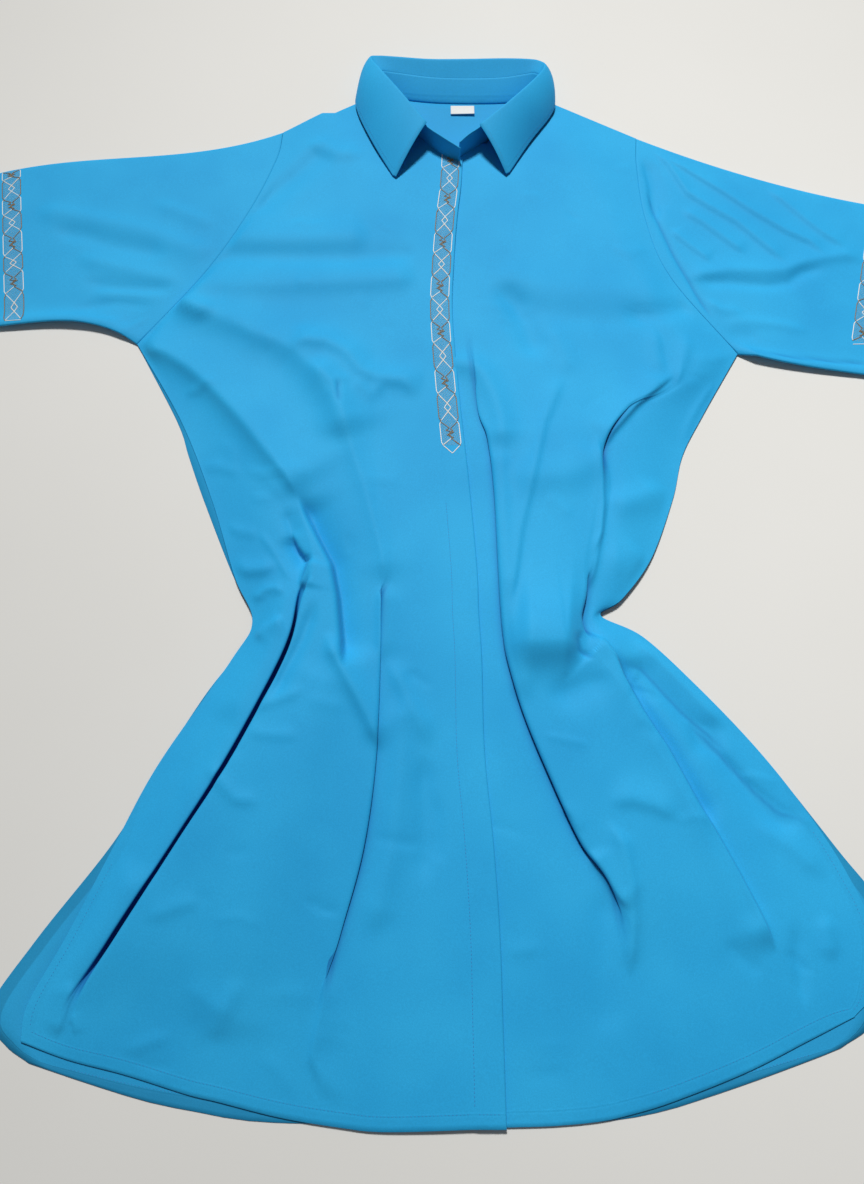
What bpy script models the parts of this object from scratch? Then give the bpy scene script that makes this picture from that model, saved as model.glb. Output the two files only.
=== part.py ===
"""Long tunic shirt, laid flat on its back with the waist pushed in so that long folds form.

All tables are in millimetres in plan (x across, y towards the collar) with heights z above the
surface it lies on. A height is that of the middle of the cloth wall.
"""

from collections import namedtuple

import bpy
import numpy as np

MM = 0.001

# Walls: one layer of the body cloth, and the stiffer pieces that hold two layers and interfacing.
CLOTH = 1.0
PLACKET_WALL = 1.2
STAND_WALL = 1.4
LEAF_WALL = 1.2
ROLL_RADIUS = 2.6
LABEL_WALL = 1.0

SEAM_GAP = 0.3
BACK_MID = CLOTH / 2
FRONT_MIN = CLOTH + SEAM_GAP + CLOTH / 2
PLACKET_LIFT = 0.3
PLACKET_WIDTH = 26.5

# The layout is measured from a point near the middle front: this moves its box onto the origin.
CENTRE_X = 8.5
CENTRE_Y = 20.4

Fold = namedtuple("Fold", "x y left right depth")
FrontRow = namedtuple("FrontRow", "name steps side fold_out fold_in middle")
Ridge = namedtuple("Ridge", "name height left right path")

# Right front (it lies on the picture's left): side edge, flank fold, inner fold, placket seam.
# Side and middle are (x, y, z). A fold is x, y, the heights to its left and right, and its depth
# from 0 for none to 1 for the full crevice.
RIGHT_FRONT = [
    FrontRow("shoulder", 2, (-176, 477, 2.2), Fold(-125, 505, 3, 3, 0), Fold(-66, 531, 2.6, 2.6, 0), (3, 442, 7.0)),
    FrontRow("yoke", 2, (-181, 436, 4.0), Fold(-130, 440, 7, 7, 0), Fold(-66, 445, 7, 7, 0), (1, 398, 8.0)),
    FrontRow("armhole", 2, (-206, 364, 5.5), Fold(-138, 372, 8, 8, 0), Fold(-64, 378, 8, 8, 0), (-4, 350, 8.0)),
    FrontRow("scye", 2, (-248, 282, 5.5), Fold(-152, 300, 9, 9, 0), Fold(-62, 305, 9, 9, 0), (-8, 290, 8.5)),
    FrontRow("underarm", 3, (-314, 192, 2.2), Fold(-166, 210, 9, 9, 0), Fold(-60, 225, 9, 9, 0), (-10, 225, 9.0)),
    FrontRow("ribs", 2, (-260, 101, 1.8), Fold(-162, 112, 9, 9, 0), Fold(-56, 130, 9, 9, 0), (-4, 130, 9.5)),
    FrontRow("high_waist", 2, (-222, 14, 1.8), Fold(-146, 18, 10, 10, 0), Fold(-52, 25, 10, 10, 0), (5, 25, 10.0)),
    FrontRow("above_waist", 2, (-193, -68, 1.8), Fold(-122, -54, 11, 16, 0.3), Fold(-50, -60, 14, 12, 0.1), (11, -60, 10.5)),
    FrontRow("waist", 2, (-173, -112, 2.4), Fold(-130, -94, 14, 20, 1), Fold(-52, -100, 15, 12, 0.6), (12, -105, 10.5)),
    FrontRow("below_waist", 3, (-190, -149, 2.2), Fold(-146, -145, 16, 21, 1), Fold(-51, -145, 16, 12, 0.8), (14, -150, 10.5)),
    FrontRow("hip", 2, (-245, -242, 1.8), Fold(-191, -242, 16, 21, 1), Fold(-54, -240, 15, 11, 0.8), (15, -235, 10.0)),
    FrontRow("slit_top", 3, (-272, -310, 1.8), Fold(-227, -312, 14, 19, 1), Fold(-64, -318, 14, 10, 0.8), (21, -310, 9.0)),
    FrontRow("tail", 2, (-318, -388, 1.8), Fold(-272, -390, 10, 14, 0.9), Fold(-81, -388, 11, 9, 0.5), (25, -385, 8.0)),
    FrontRow("tail_curve", 2, (-347, -445, 1.8), Fold(-302, -446, 5, 6, 0.3), Fold(-100, -458, 7, 7, 0.1), (26, -455, 6.0)),
    FrontRow("hem", 0, (-340, -467, 1.8), Fold(-296, -484, 2.2, 2.2, 0), Fold(-108, -525, 2.4, 2.4, 0), (27, -530, 4.2)),
]

# Left front (on the picture's right). Its middle edge is the button stand, under the placket.
LEFT_FRONT = [
    FrontRow("shoulder", 2, (229, 468, 2.2), Fold(114, 527, 2.6, 2.6, 0), Fold(50, 458, 5.1, 5.1, 0), (7, 428, 5.1)),
    FrontRow("yoke", 2, (226, 425, 4.0), Fold(140, 450, 7, 7, 0), Fold(46, 402, 6.2, 6.8, 0), (5, 398, 6.1)),
    FrontRow("armhole", 2, (230, 350, 5.5), Fold(165, 378, 8, 8, 0), Fold(41, 350, 6.2, 7, 0), (0, 350, 6.1)),
    FrontRow("scye", 2, (251, 274, 5.5), Fold(195, 290, 9, 9, 0), Fold(35, 290, 6.7, 7.5, 0), (-4, 290, 6.6)),
    FrontRow("underarm", 2, (314, 180, 2.2), Fold(250, 168, 9, 9, 0.0), Fold(34, 222, 7.2, 8, 0), (-6, 225, 7.1)),
    FrontRow("ribs", 2, (271, 108, 1.8), Fold(195, 109, 12, 9, 0.6), Fold(38, 117, 7.7, 10, 0.4), (0, 130, 7.6)),
    FrontRow("bust_line", 2, (246, 62, 1.8), Fold(165, 64, 13, 9, 0.8), Fold(50, 74, 8.0, 13, 0.8), (3, 76, 7.9)),
    FrontRow("high_waist", 2, (232, 14, 1.8), Fold(159, 14, 13, 8, 0.7), Fold(53, 18, 8.2, 14, 1), (9, 18, 8.1)),
    FrontRow("above_waist", 2, (205, -50, 1.8), Fold(146, -52, 15, 9, 0.8), Fold(57, -60, 8.8, 16, 1), (15, -60, 8.6)),
    FrontRow("dent", 1, (174, -91, 1.8), Fold(138, -90, 16, 9, 1), Fold(59, -95, 8.8, 17, 1), (16, -95, 8.6)),
    FrontRow("waist", 1, (153, -107, 1.8), Fold(134, -116, 16, 8, 0.9), Fold(61, -128, 8.8, 17, 1), (17, -130, 8.6)),
    FrontRow("below_waist", 2, (191, -127, 1.8), Fold(146, -137, 15, 11, 0.5), Fold(63, -155, 8.8, 16, 1), (18, -160, 8.6)),
    FrontRow("hip", 2, (236, -172, 1.8), Fold(172, -178, 14, 10, 0.3), Fold(76, -203, 8.4, 15, 1), (19, -208, 8.4)),
    FrontRow("low_hip", 2, (285, -230, 1.8), Fold(201, -236, 13, 9, 0.3), Fold(96, -256, 7.8, 15, 1), (21, -262, 7.8)),
    FrontRow("slit_top", 2, (322, -284, 1.8), Fold(230, -295, 12, 8, 0.3), Fold(120, -312, 7.1, 14, 1), (25, -312, 7.1)),
    FrontRow("tail", 2, (350, -336, 1.8), Fold(254, -346, 10, 7, 0.3), Fold(146, -357, 6.4, 12, 0.9), (28, -360, 6.4)),
    FrontRow("low_tail", 2, (366, -385, 1.8), Fold(270, -388, 8, 6, 0.2), Fold(160, -402, 5.5, 8, 0.3), (29, -410, 5.4)),
    FrontRow("tail_curve", 2, (356, -432, 1.8), Fold(284, -430, 5, 4.4, 0.1), Fold(167, -456, 4.2, 5, 0), (30, -465, 4.0)),
    FrontRow("hem", 0, (340, -450, 1.8), Fold(298, -468, 2.2, 2.2, 0), Fold(174, -516, 2.2, 2.2, 0), (31, -529, 2.2)),
]

# The hem's curve from left to right as (x, y), in front and behind.
FRONT_HEM = [(-340, -467), (-314, -478), (-246, -492), (-200, -507), (-128, -521), (-78, -530), (-42, -531),
             (31, -530), (53, -529), (91, -528), (127, -525), (153, -520), (187, -511), (248, -490), (301, -467), (340, -450)]
BACK_HEM = [(-330, -484), (-282, -498), (-233, -511), (-194, -518), (-145, -525), (-60, -527), (90, -527),
            (141, -524), (178, -518), (212, -509), (256, -496), (309, -479), (326, -473)]
# Table rows above the hem over which the cloth gives way to that curve.
HEM_REACH = 1.5

# Opening and sideways lean of each crevice. It leans under the layer that lies on top: the walls
# by UNDERCUT, the bottom by all of it.
UNDERCUT = 1.5
FLANK_FOLD = dict(opening=8.0, lean=10.0)
INNER_FOLD = dict(opening=1.1, lean=-4.0)
LONG_FOLD = dict(opening=4.6, lean=8.0)
TUCK_FOLD = dict(opening=2.4, lean=-5.0)

# Back panel: left edge, left neck point, middle, right neck point, right edge, as (x, y).
BackRow = namedtuple("BackRow", "name steps left neck_left middle neck_right right")
BACK = [
    BackRow("shoulder", 2, (-176, 477), (-66, 533), (22, 521), (112, 529), (229, 468)),
    BackRow("yoke", 2, (-181, 436), (-70, 440), (22, 440), (112, 440), (226, 425)),
    BackRow("armhole", 2, (-206, 364), (-74, 368), (22, 366), (118, 362), (230, 350)),
    BackRow("scye", 2, (-248, 282), (-78, 286), (22, 284), (120, 280), (251, 274)),
    BackRow("underarm", 2, (-314, 192), (-84, 196), (20, 192), (120, 188), (314, 180)),
    BackRow("ribs", 1, (-264, 101), (-82, 102), (18, 102), (110, 102), (267, 101)),
    BackRow("bust_line", 1, (-249, 62), (-80, 60), (16, 60), (102, 60), (246, 61)),
    BackRow("high_waist", 2, (-230, 14), (-78, 14), (12, 12), (92, 14), (232, 14)),
    BackRow("above_waist", 1, (-195, -66), (-72, -64), (8, -62), (84, -60), (205, -50)),
    BackRow("dent", 1, (-177, -96), (-68, -90), (7, -88), (82, -86), (174, -91)),
    BackRow("waist", 1, (-173, -118), (-66, -114), (6, -112), (80, -110), (153, -107)),
    BackRow("below_waist", 1, (-190, -149), (-74, -146), (6, -144), (84, -140), (191, -127)),
    BackRow("hip_top", 1, (-213, -183), (-80, -180), (7, -178), (94, -174), (238, -174)),
    BackRow("hip", 2, (-247, -244), (-90, -240), (8, -238), (110, -234), (287, -232)),
    BackRow("slit_top", 2, (-280, -310), (-104, -318), (10, -318), (128, -312), (346, -318)),
    BackRow("tail", 2, (-337, -391), (-118, -396), (12, -400), (142, -394), (378, -368)),
    BackRow("tail_curve", 1, (-369, -446), (-126, -470), (12, -476), (150, -470), (376, -416)),
    BackRow("tail_end", 1, (-352, -470), (-128, -505), (12, -508), (154, -502), (356, -454)),
    BackRow("hem", 0, (-330, -484), (-130, -524), (12, -531), (156, -523), (326, -473)),
]

# Sleeves: cuff ends (x, y), bow of the top and bottom edge (near the armhole, near the cuff), and
# the height of the upper layer's middle at armhole, mid-sleeve and cuff.
SleeveSize = namedtuple("SleeveSize", "cuff_top cuff_bottom top_bow bottom_bow middle")
RIGHT_SLEEVE = SleeveSize((-498, 417), (-466, 212), (-13, 6.5), (13, 5), (5.5, 5.0, 4.2))
LEFT_SLEEVE = SleeveSize((515, 364), (459, 161), (-6.5, -7), (-2, 0), (5.5, 5.0, 4.2))

# Round the neck from the end that lies on top, over the left of the picture, to the end below it.
# x, y: seam line, where the stand's base rests on the panels. top: the stand's upper edge. roll:
# where the leaf turns over. pull: what the falling leaf bends towards. edge: its free edge, which
# lies under the stand at the back. The leaf covers only the rows that have a roll.
NeckRow = namedtuple("NeckRow", "name x y top roll pull edge")
NECK = [
    NeckRow("top_end", 26, 430.5, (27, 431, 25), None, None, None),
    NeckRow("front_right", 6, 445, (6, 446, 28), None, None, None),
    NeckRow("roll_start_right", -12, 461, (-13, 462, 29), (-11, 460, 33), (-27, 433, 29), (-43.5, 400.5, 13)),
    NeckRow("front_slope_right", -35, 486, (-36, 491, 30), (-37, 496, 37), (-54, 474, 30), (-70, 449, 11)),
    NeckRow("side_right", -57, 511, (-60, 523, 27), (-62, 534, 35), (-78, 518, 29), (-89, 496, 8.5)),
    NeckRow("shoulder_right", -65, 527, (-68, 546, 22), (-76, 563, 27), (-88, 548, 23), (-93, 523, 8)),
    NeckRow("corner_right", -56, 530, (-61, 551, 19), (-67, 568, 25), (-85, 568, 12), (-80, 544, 2.2)),
    NeckRow("back_right", -42, 528, (-44, 551, 16.5), (-46, 567.5, 24), (-54, 580, 4), (-52, 542, 1.4)),
    NeckRow("back_mid_right", -6, 523, (-7, 547, 14.5), (-8, 565, 23), (-10, 581, 2), (-10, 539, 1.4)),
    NeckRow("back", 34, 521.5, (34, 545.5, 14), (34, 565, 23), (34, 581, 2), (34, 538, 1.4)),
    NeckRow("back_mid_left", 74, 522, (76, 546.5, 14.5), (77, 566, 23), (80, 581, 2), (80, 538, 1.4)),
    NeckRow("back_left", 98, 525, (102, 548.5, 17), (105, 564, 24), (114, 577, 4), (106, 538, 1.4)),
    NeckRow("corner_left", 108, 526, (113, 547, 20), (118, 560.5, 25), (134, 562, 12), (128, 532, 2.2)),
    NeckRow("shoulder_left", 113, 522, (119, 538, 23), (125, 550, 28), (138, 536, 22), (137, 514, 8)),
    NeckRow("side_left", 104, 506, (109, 518, 27), (114, 526, 34), (128, 512, 27), (130, 493, 8.5)),
    NeckRow("front_slope_left", 78, 481, (79, 486, 30), (83, 488, 37), (96, 470, 30), (106, 455, 10)),
    NeckRow("roll_start_left", 49, 458.5, (50, 460, 29), (48, 457, 33), (63, 431, 29), (79, 402.5, 13)),
    NeckRow("front_left", 36, 448, (36, 449, 28), None, None, None),
    NeckRow("under_end", 25, 440, (26, 441, 25), None, None, None),
]

LABEL_SIZE = (27.0, 13.0)
LABEL_CORNER = (17.0, 517.0)
LABEL_Z = (1.8, 3.4)

# Broad soft folds. height is at the crest (minus for a trough), left and right are the half
# widths on either side of the path, which fades out at both ends.
RIGHT_RIDGES = [
    Ridge("armpit_roll", 6, 15, 15, [(-296, 183), (-236, 116), (-174, 54), (-131, 10), (-112, -36)]),
    Ridge("below_armpit_roll", -3, 14, 14, [(-268, 139), (-227, 93), (-190, 43), (-153, 0)]),
    Ridge("chest_trough", -4, 20, 18, [(-210, 203), (-149, 169), (-119, 128), (-93, 57), (-72, 0), (-54, -54)]),
    Ridge("above_inner_fold", 3, 9, 12, [(-79, 45), (-63, -11), (-51, -57)]),
    Ridge("gusset_roll", 4, 8, 12, [(-121, -20), (-106, -75), (-106, -133), (-128, -195)]),
    Ridge("hollow_over_fold", -5, 9, 9, [(-152, -14), (-138, -36), (-126, -58)]),
    Ridge("notch_crest", 6, 8, 14, [(-176, -136), (-148, -114), (-134, -98)]),
    Ridge("yoke_pull", 3, 12, 20, [(-215, 346), (-159, 385), (-72, 398)]),
    Ridge("breast_pull", 3, 12, 20, [(-232, 300), (-162, 323), (-98, 339), (-8, 355)]),
    Ridge("low_breast_pull", 3, 12, 18, [(-245, 272), (-181, 279), (-117, 279), (-40, 288)]),
    Ridge("underarm_pull", 3, 10, 14, [(-275, 250), (-220, 231), (-180, 196)]),
    Ridge("shoulder_hollow", -2.5, 18, 14, [(-112, 492), (-154, 438), (-190, 396), (-200, 362)]),
    Ridge("skirt_swell", 3, 30, 30, [(-92, -150), (-122, -242), (-150, -360), (-180, -470)]),
    Ridge("flap_hollow", -3, 14, 14, [(-180, -190), (-222, -262), (-262, -350)]),
]
LEFT_RIDGES = [
    Ridge("breast_trough", -3, 16, 16, [(112, 372), (175, 310), (238, 272)]),
    Ridge("breast_pull", 3, 16, 14, [(100, 318), (154, 284), (212, 248)]),
    Ridge("scye_trough", -2.5, 14, 14, [(200, 220), (258, 234)]),
    Ridge("bust_trough", -2.5, 18, 18, [(72, 270), (92, 217), (98, 170), (96, 120)]),
    Ridge("fine_crease", -2, 4, 9, [(126, 150), (102, 73), (88, 9), (78, -30)]),
    Ridge("over_long_fold", 4, 12, 16, [(58, 120), (76, 60), (82, -20), (86, -100)]),
    Ridge("waist_swell", 6, 22, 22, [(100, -30), (108, -90), (112, -132)]),
    Ridge("hollow_below_swell", -7, 16, 22, [(84, -168), (118, -168), (158, -160)]),
    Ridge("side_roll", 5, 12, 14, [(190, 60), (186, 0), (168, -56)]),
    Ridge("skirt_crest", 5, 10, 16, [(160, -146), (182, -165), (208, -192), (243, -232), (291, -287), (322, -302)]),
    Ridge("skirt_trough", -3, 12, 12, [(190, -200), (226, -252), (262, -312), (292, -380)]),
    Ridge("end_of_long_fold", 3, 10, 8, [(158, -360), (163, -406), (166, -450)]),
    Ridge("tail_pull", 2.5, 12, 12, [(222, -318), (258, -388), (270, -444)]),
    Ridge("edge_pull", 2, 8, 10, [(300, -372), (300, -405), (298, -440)]),
]
RIGHT_SLEEVE_RIDGES = [
    Ridge("upper_trough", -1.5, 16, 16, [(-430, 330), (-335, 325), (-247, 305)]),
    Ridge("middle_trough", -1.5, 12, 12, [(-420, 280), (-330, 273), (-265, 263)]),
    Ridge("underarm_trough", -1.5, 9, 9, [(-350, 246), (-318, 240), (-286, 238)]),
    Ridge("middle_roll", 2, 14, 14, [(-430, 305), (-340, 300), (-262, 285)]),
]
LEFT_SLEEVE_RIDGES = [
    Ridge("long_roll", 4, 10, 14, [(268, 270), (311, 281), (377, 281), (419, 297), (478, 304)]),
    Ridge("slant_roll", 2, 7, 9, [(270, 396), (324, 348), (376, 296)]),
    Ridge("second_slant_roll", 2, 7, 9, [(256, 440), (321, 379), (425, 309)]),
    Ridge("third_slant_roll", 2, 9, 9, [(352, 414), (420, 346), (468, 302)]),
    Ridge("underarm_roll", 2, 8, 8, [(300, 220), (356, 215), (410, 198)]),
    Ridge("seam_hollow", -2.5, 8, 9, [(240, 438), (236, 363), (256, 326)]),
]


def smooth(values, at, corner=None):
    """Cubic curve through evenly numbered rows of values, read at row numbers, may have a corner."""
    values = np.asarray(values, float)
    if corner is not None:
        above = smooth(values[:corner + 1], np.minimum(at, corner))
        below = smooth(values[corner:], np.maximum(at - corner, 0))
        return np.where((at <= corner)[:, None], above, below)
    index = np.clip(np.floor(at).astype(int), 0, len(values) - 2)
    f = (at - index)[:, None]
    slope = np.gradient(values, axis=0)
    start, end = values[index], values[index + 1]
    return ((2 * f**3 - 3 * f**2 + 1) * start + (f**3 - 2 * f**2 + f) * slope[index]
            + (3 * f**2 - 2 * f**3) * end + (f**3 - f**2) * slope[index + 1])


def row_numbers(table):
    """Where the mesh rows lie among the table's rows."""
    parts = [i + np.arange(row.steps) / row.steps for i, row in enumerate(table[:-1])]
    return np.append(np.concatenate(parts), len(table) - 1)


def relief(x, y, ridges):
    """Height that the soft folds add at plan places x, y: a bell across each path."""
    total = np.zeros(np.shape(x))
    for ridge in ridges:
        path = np.array(ridge.path, float)
        step = np.diff(path, axis=0)
        length = np.hypot(step[:, 0], step[:, 1])
        walked = np.append(0, np.cumsum(length))
        nearest = np.full(np.shape(x), np.inf)
        along = np.zeros(np.shape(x))
        turn = np.zeros(np.shape(x))
        for i in range(len(step)):
            dx, dy = x - path[i, 0], y - path[i, 1]
            share = np.clip((dx * step[i, 0] + dy * step[i, 1]) / length[i]**2, 0, 1)
            gap = np.hypot(dx - share * step[i, 0], dy - share * step[i, 1])
            closer = gap < nearest
            nearest = np.where(closer, gap, nearest)
            along = np.where(closer, (walked[i] + share * length[i]) / walked[-1], along)
            turn = np.where(closer, step[i, 0] * dy - step[i, 1] * dx, turn)
        width = np.where(turn > 0, ridge.left, ridge.right)
        total += ridge.height * np.exp(-(nearest / width)**2) * np.sin(np.pi * along)**0.7
    return total


def crevice(fold, opening, lean):
    """Columns across one fold, left to right: shoulder, wall, bottom, wall, shoulder.

    fold has columns x, y, left height, right height, depth. With no depth they lie side by side.
    """
    x, y, left, right, depth = fold.T
    depth = np.clip(depth, 0, 1)
    ease = depth * depth * (3 - 2 * depth)
    half = (opening + CLOTH) / 2
    bend = 1.6
    floor = FRONT_MIN + 0.6
    under = np.sign(lean) * UNDERCUT
    across = [-half - 2 * bend, -half, -half + under, lean, half + under, half, half + 2 * bend]
    deep = [left, left - bend, floor + half, floor, floor + half, right - bend, right]
    columns = []
    for i in range(7):
        spread = (i - 3) * 2.4
        level = left + (right - left) * i / 6
        columns.append(np.stack([x + spread + (across[i] - spread) * ease, y,
                                 level + (deep[i] - level) * ease], axis=1))
    return columns


def span(start, end, segments, crown):
    """Columns between two columns, which are left out. The height eases over, with a low crown."""
    columns = []
    for i in range(1, segments):
        f = i / segments
        ease = f * f * (3 - 2 * f)
        column = start + (end - start) * f
        column[:, 2] = start[:, 2] + (end[:, 2] - start[:, 2]) * ease + crown * np.sin(np.pi * f)
        columns.append(column)
    return columns


def follow_hem(grid, at, curve):
    """Move the last rows in y so that the bottom edge takes the hem's curve."""
    line = np.array(curve, float)
    fine = np.linspace(0, len(line) - 1, 8 * len(line))
    line = smooth(line, fine)
    order = np.argsort(line[:, 0])
    gap = np.interp(grid[-1, :, 0], line[order, 0], line[order, 1]) - grid[-1, :, 1]
    share = np.clip(1 - (at[-1] - at) / HEM_REACH, 0, 1)
    grid[..., 1] += gap[None] * (share * share * (3 - 2 * share))[:, None]


def front(table, outer, inner, ridges, spans):
    """Grid of wall middles of one front, from its left edge in plan to its right edge.

    spans gives the columns and the crown of each stretch, from the side to the middle.
    """
    at = row_numbers(table)
    corner = [row.name for row in table].index("underarm")
    side = smooth([row.side for row in table], at, corner)
    middle = smooth([row.middle for row in table], at)
    outer_fold = crevice(smooth([row.fold_out for row in table], at), **outer)
    inner_fold = crevice(smooth([row.fold_in for row in table], at), **inner)
    blocks = [[side], outer_fold, inner_fold, [middle]]
    if side[0, 0] > middle[0, 0]:
        blocks.reverse()
        spans = spans[::-1]
    fullness = np.sin(np.pi * at / at[-1])
    columns = list(blocks[0])
    for block, (count, crown) in zip(blocks[1:], spans):
        columns += span(columns[-1], block[0], count, crown * fullness)
        columns += block
    grid = np.stack(columns, axis=1)
    follow_hem(grid, at, FRONT_HEM)
    soft = relief(grid[..., 0], grid[..., 1], ridges)
    edge = np.minimum(np.arange(len(columns)), np.arange(len(columns))[::-1]) / 3
    grid[..., 2] += soft * np.clip(edge, 0, 1)
    grid[..., 2] = np.maximum(grid[..., 2], FRONT_MIN)
    return grid


def placket(seam):
    """Band beside the placket seam, from the neck to the hem."""
    share = np.linspace(0, 1, 5)
    grid = np.repeat(seam[:, None, :], 5, axis=1)
    width = PLACKET_WIDTH - SEAM_GAP
    grid[..., 0] += SEAM_GAP + share * width
    neck_drop = np.clip((seam[:, 1] - seam[1, 1]) / (seam[0, 1] - seam[1, 1]), 0, 1)
    grid[..., 1] -= neck_drop[:, None] * share * 9
    grid[..., 2] += PLACKET_LIFT
    return grid


def back():
    """Grid of the back panel, flat on the surface."""
    at = row_numbers(BACK)
    corner = [row.name for row in BACK].index("underarm")
    keys = ["left", "neck_left", "middle", "neck_right", "right"]
    guides = [smooth([getattr(row, key) for row in BACK], at, corner if key in ("left", "right") else None)
              for key in keys]
    columns = []
    for start, end in zip(guides, guides[1:]):
        columns += [start + (end - start) * f for f in np.arange(4) / 4]
    columns.append(guides[-1])
    plan = np.stack(columns, axis=1)
    follow_hem(plan, at, BACK_HEM)
    return np.dstack([plan, np.full(plan.shape[:2], BACK_MID)])


def bow(a, near, far):
    """Offset in y along a sleeve edge: the two humps stand at a third and two thirds of it."""
    return np.hstack([0 * a, 6.75 * (near * a * (1 - a)**2 + far * a**2 * (1 - a))])


def sleeve(armhole, size, ridges, rings=9):
    """Loops of a flattened tube: armhole is the body's edge from shoulder to underarm."""
    outward = np.sign(size.cuff_top[0])
    count = len(armhole)
    b = np.linspace(0, 1, count)[:, None]
    a = np.linspace(0, 1, rings)[:, None]
    seam = armhole[:, :2] + np.array([outward * SEAM_GAP, 0])
    top, bottom = np.array(size.cuff_top, float), np.array(size.cuff_bottom, float)
    cuff = top + (bottom - top) * b
    top_edge = seam[0] + (top - seam[0]) * a + bow(a, *size.top_bow)
    bottom_edge = seam[-1] + (bottom - seam[-1]) * a + bow(a, *size.bottom_bow)
    plan = ((1 - a)[:, None] * seam[None] + a[:, None] * cuff[None]
            + (1 - b)[None] * top_edge[:, None] + b[None] * bottom_edge[:, None]
            - (1 - a)[:, None] * ((1 - b) * seam[0] + b * seam[-1])[None]
            - a[:, None] * ((1 - b) * top + b * bottom)[None])
    rise = np.clip(4 * b * (1 - b), 0, 1)[None, :, 0]**0.45
    middle = np.interp(a[:, 0], [0, 0.5, 1], size.middle)[:, None]
    upper = FRONT_MIN + 0.4 + (middle - FRONT_MIN - 0.4) * rise
    upper = armhole[None, :, 2] * (1 - a)**3 + upper * (1 - (1 - a)**3)
    upper = upper + relief(plan[..., 0], plan[..., 1], ridges) * rise * np.minimum(1, 6 * a)
    lower = np.full(upper.shape, BACK_MID)
    across = plan[:, -1] - plan[:, 0]
    across /= np.linalg.norm(across, axis=1)[:, None]
    turn = 1.2
    inset = np.clip(1 - np.minimum(b, 1 - b) * (count - 1), 0, 1)[None] * np.where(b < 0.5, 1, -1)[None]
    inner_plan = plan + inset * turn * across[:, None]
    loop = [np.dstack([plan[:, :1], np.full((rings, 1), (FRONT_MIN + BACK_MID) / 2)])]
    loop.append(np.dstack([inner_plan, upper]))
    loop.append(np.dstack([plan[:, -1:], np.full((rings, 1), (FRONT_MIN + BACK_MID) / 2)]))
    loop.append(np.dstack([inner_plan, lower])[:, ::-1])
    return np.concatenate(loop, axis=1)


def neck_line(rows):
    """Rows of the neck table, read at two places for each row."""
    return np.arange(0, 2 * len(rows) - 1) / 2


def top_at(panels, places):
    """Highest panel top under each place, or the back's top where there is none.

    panels are pairs of a grid of wall middles and its thickness. Each grid cell is two triangles,
    and a place lies in a triangle when its three shares of the corners are all positive.
    """
    tops = np.full(len(places), CLOTH)
    for grid, thickness in panels:
        a, b, c, d = grid[:-1, :-1], grid[1:, :-1], grid[1:, 1:], grid[:-1, 1:]
        corners = np.concatenate([np.stack([a, b, c], axis=2).reshape(-1, 3, 3),
                                  np.stack([a, c, d], axis=2).reshape(-1, 3, 3)])
        origin, first, second = corners[:, 0], corners[:, 1] - corners[:, 0], corners[:, 2] - corners[:, 0]
        size = first[:, 0] * second[:, 1] - first[:, 1] * second[:, 0]
        size = np.where(np.abs(size) < 1e-9, 1e-9, size)
        for i, place in enumerate(places):
            offset = place - origin[:, :2]
            u = (offset[:, 0] * second[:, 1] - offset[:, 1] * second[:, 0]) / size
            v = (first[:, 0] * offset[:, 1] - first[:, 1] * offset[:, 0]) / size
            inside = (u >= 0) & (v >= 0) & (u + v <= 1)
            if inside.any():
                height = (origin[:, 2] + u * first[:, 2] + v * second[:, 2])[inside].max()
                tops[i] = max(tops[i], height + thickness / 2)
    return tops


def stand(panels):
    """Grid of the collar stand: along the neck, and up from its base, which rests on the panels."""
    at = neck_line(NECK)
    seam = smooth([(row.x, row.y) for row in NECK], at)
    top = smooth([row.top for row in NECK], at)
    along = np.gradient(seam, axis=0)
    outward = np.stack([-along[:, 1], along[:, 0]], axis=1)
    outward /= np.linalg.norm(outward, axis=1)[:, None]
    fine = np.arange(0, len(seam) - 0.75, 0.25)
    under = np.full(len(fine), CLOTH)
    for side in (-1, 0, 1, 2):
        rim = seam + outward * side * (STAND_WALL / 2 + 0.6)
        rim = np.column_stack([np.interp(fine, np.arange(len(seam)), rim[:, k]) for k in (0, 1)])
        under = np.maximum(under, top_at(panels, rim))
    base = np.array([under[np.abs(fine - i) < 1.1].max() for i in range(len(seam))]) + SEAM_GAP + 0.2
    grid = []
    for share in (0, 0.1, 0.4, 0.7, 1):
        lean = share**2
        place = seam + (top[:, :2] - seam) * lean
        grid.append(np.column_stack([place, base + (top[:, 2] - base) * share]))
    return np.stack(grid, axis=1)


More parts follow.
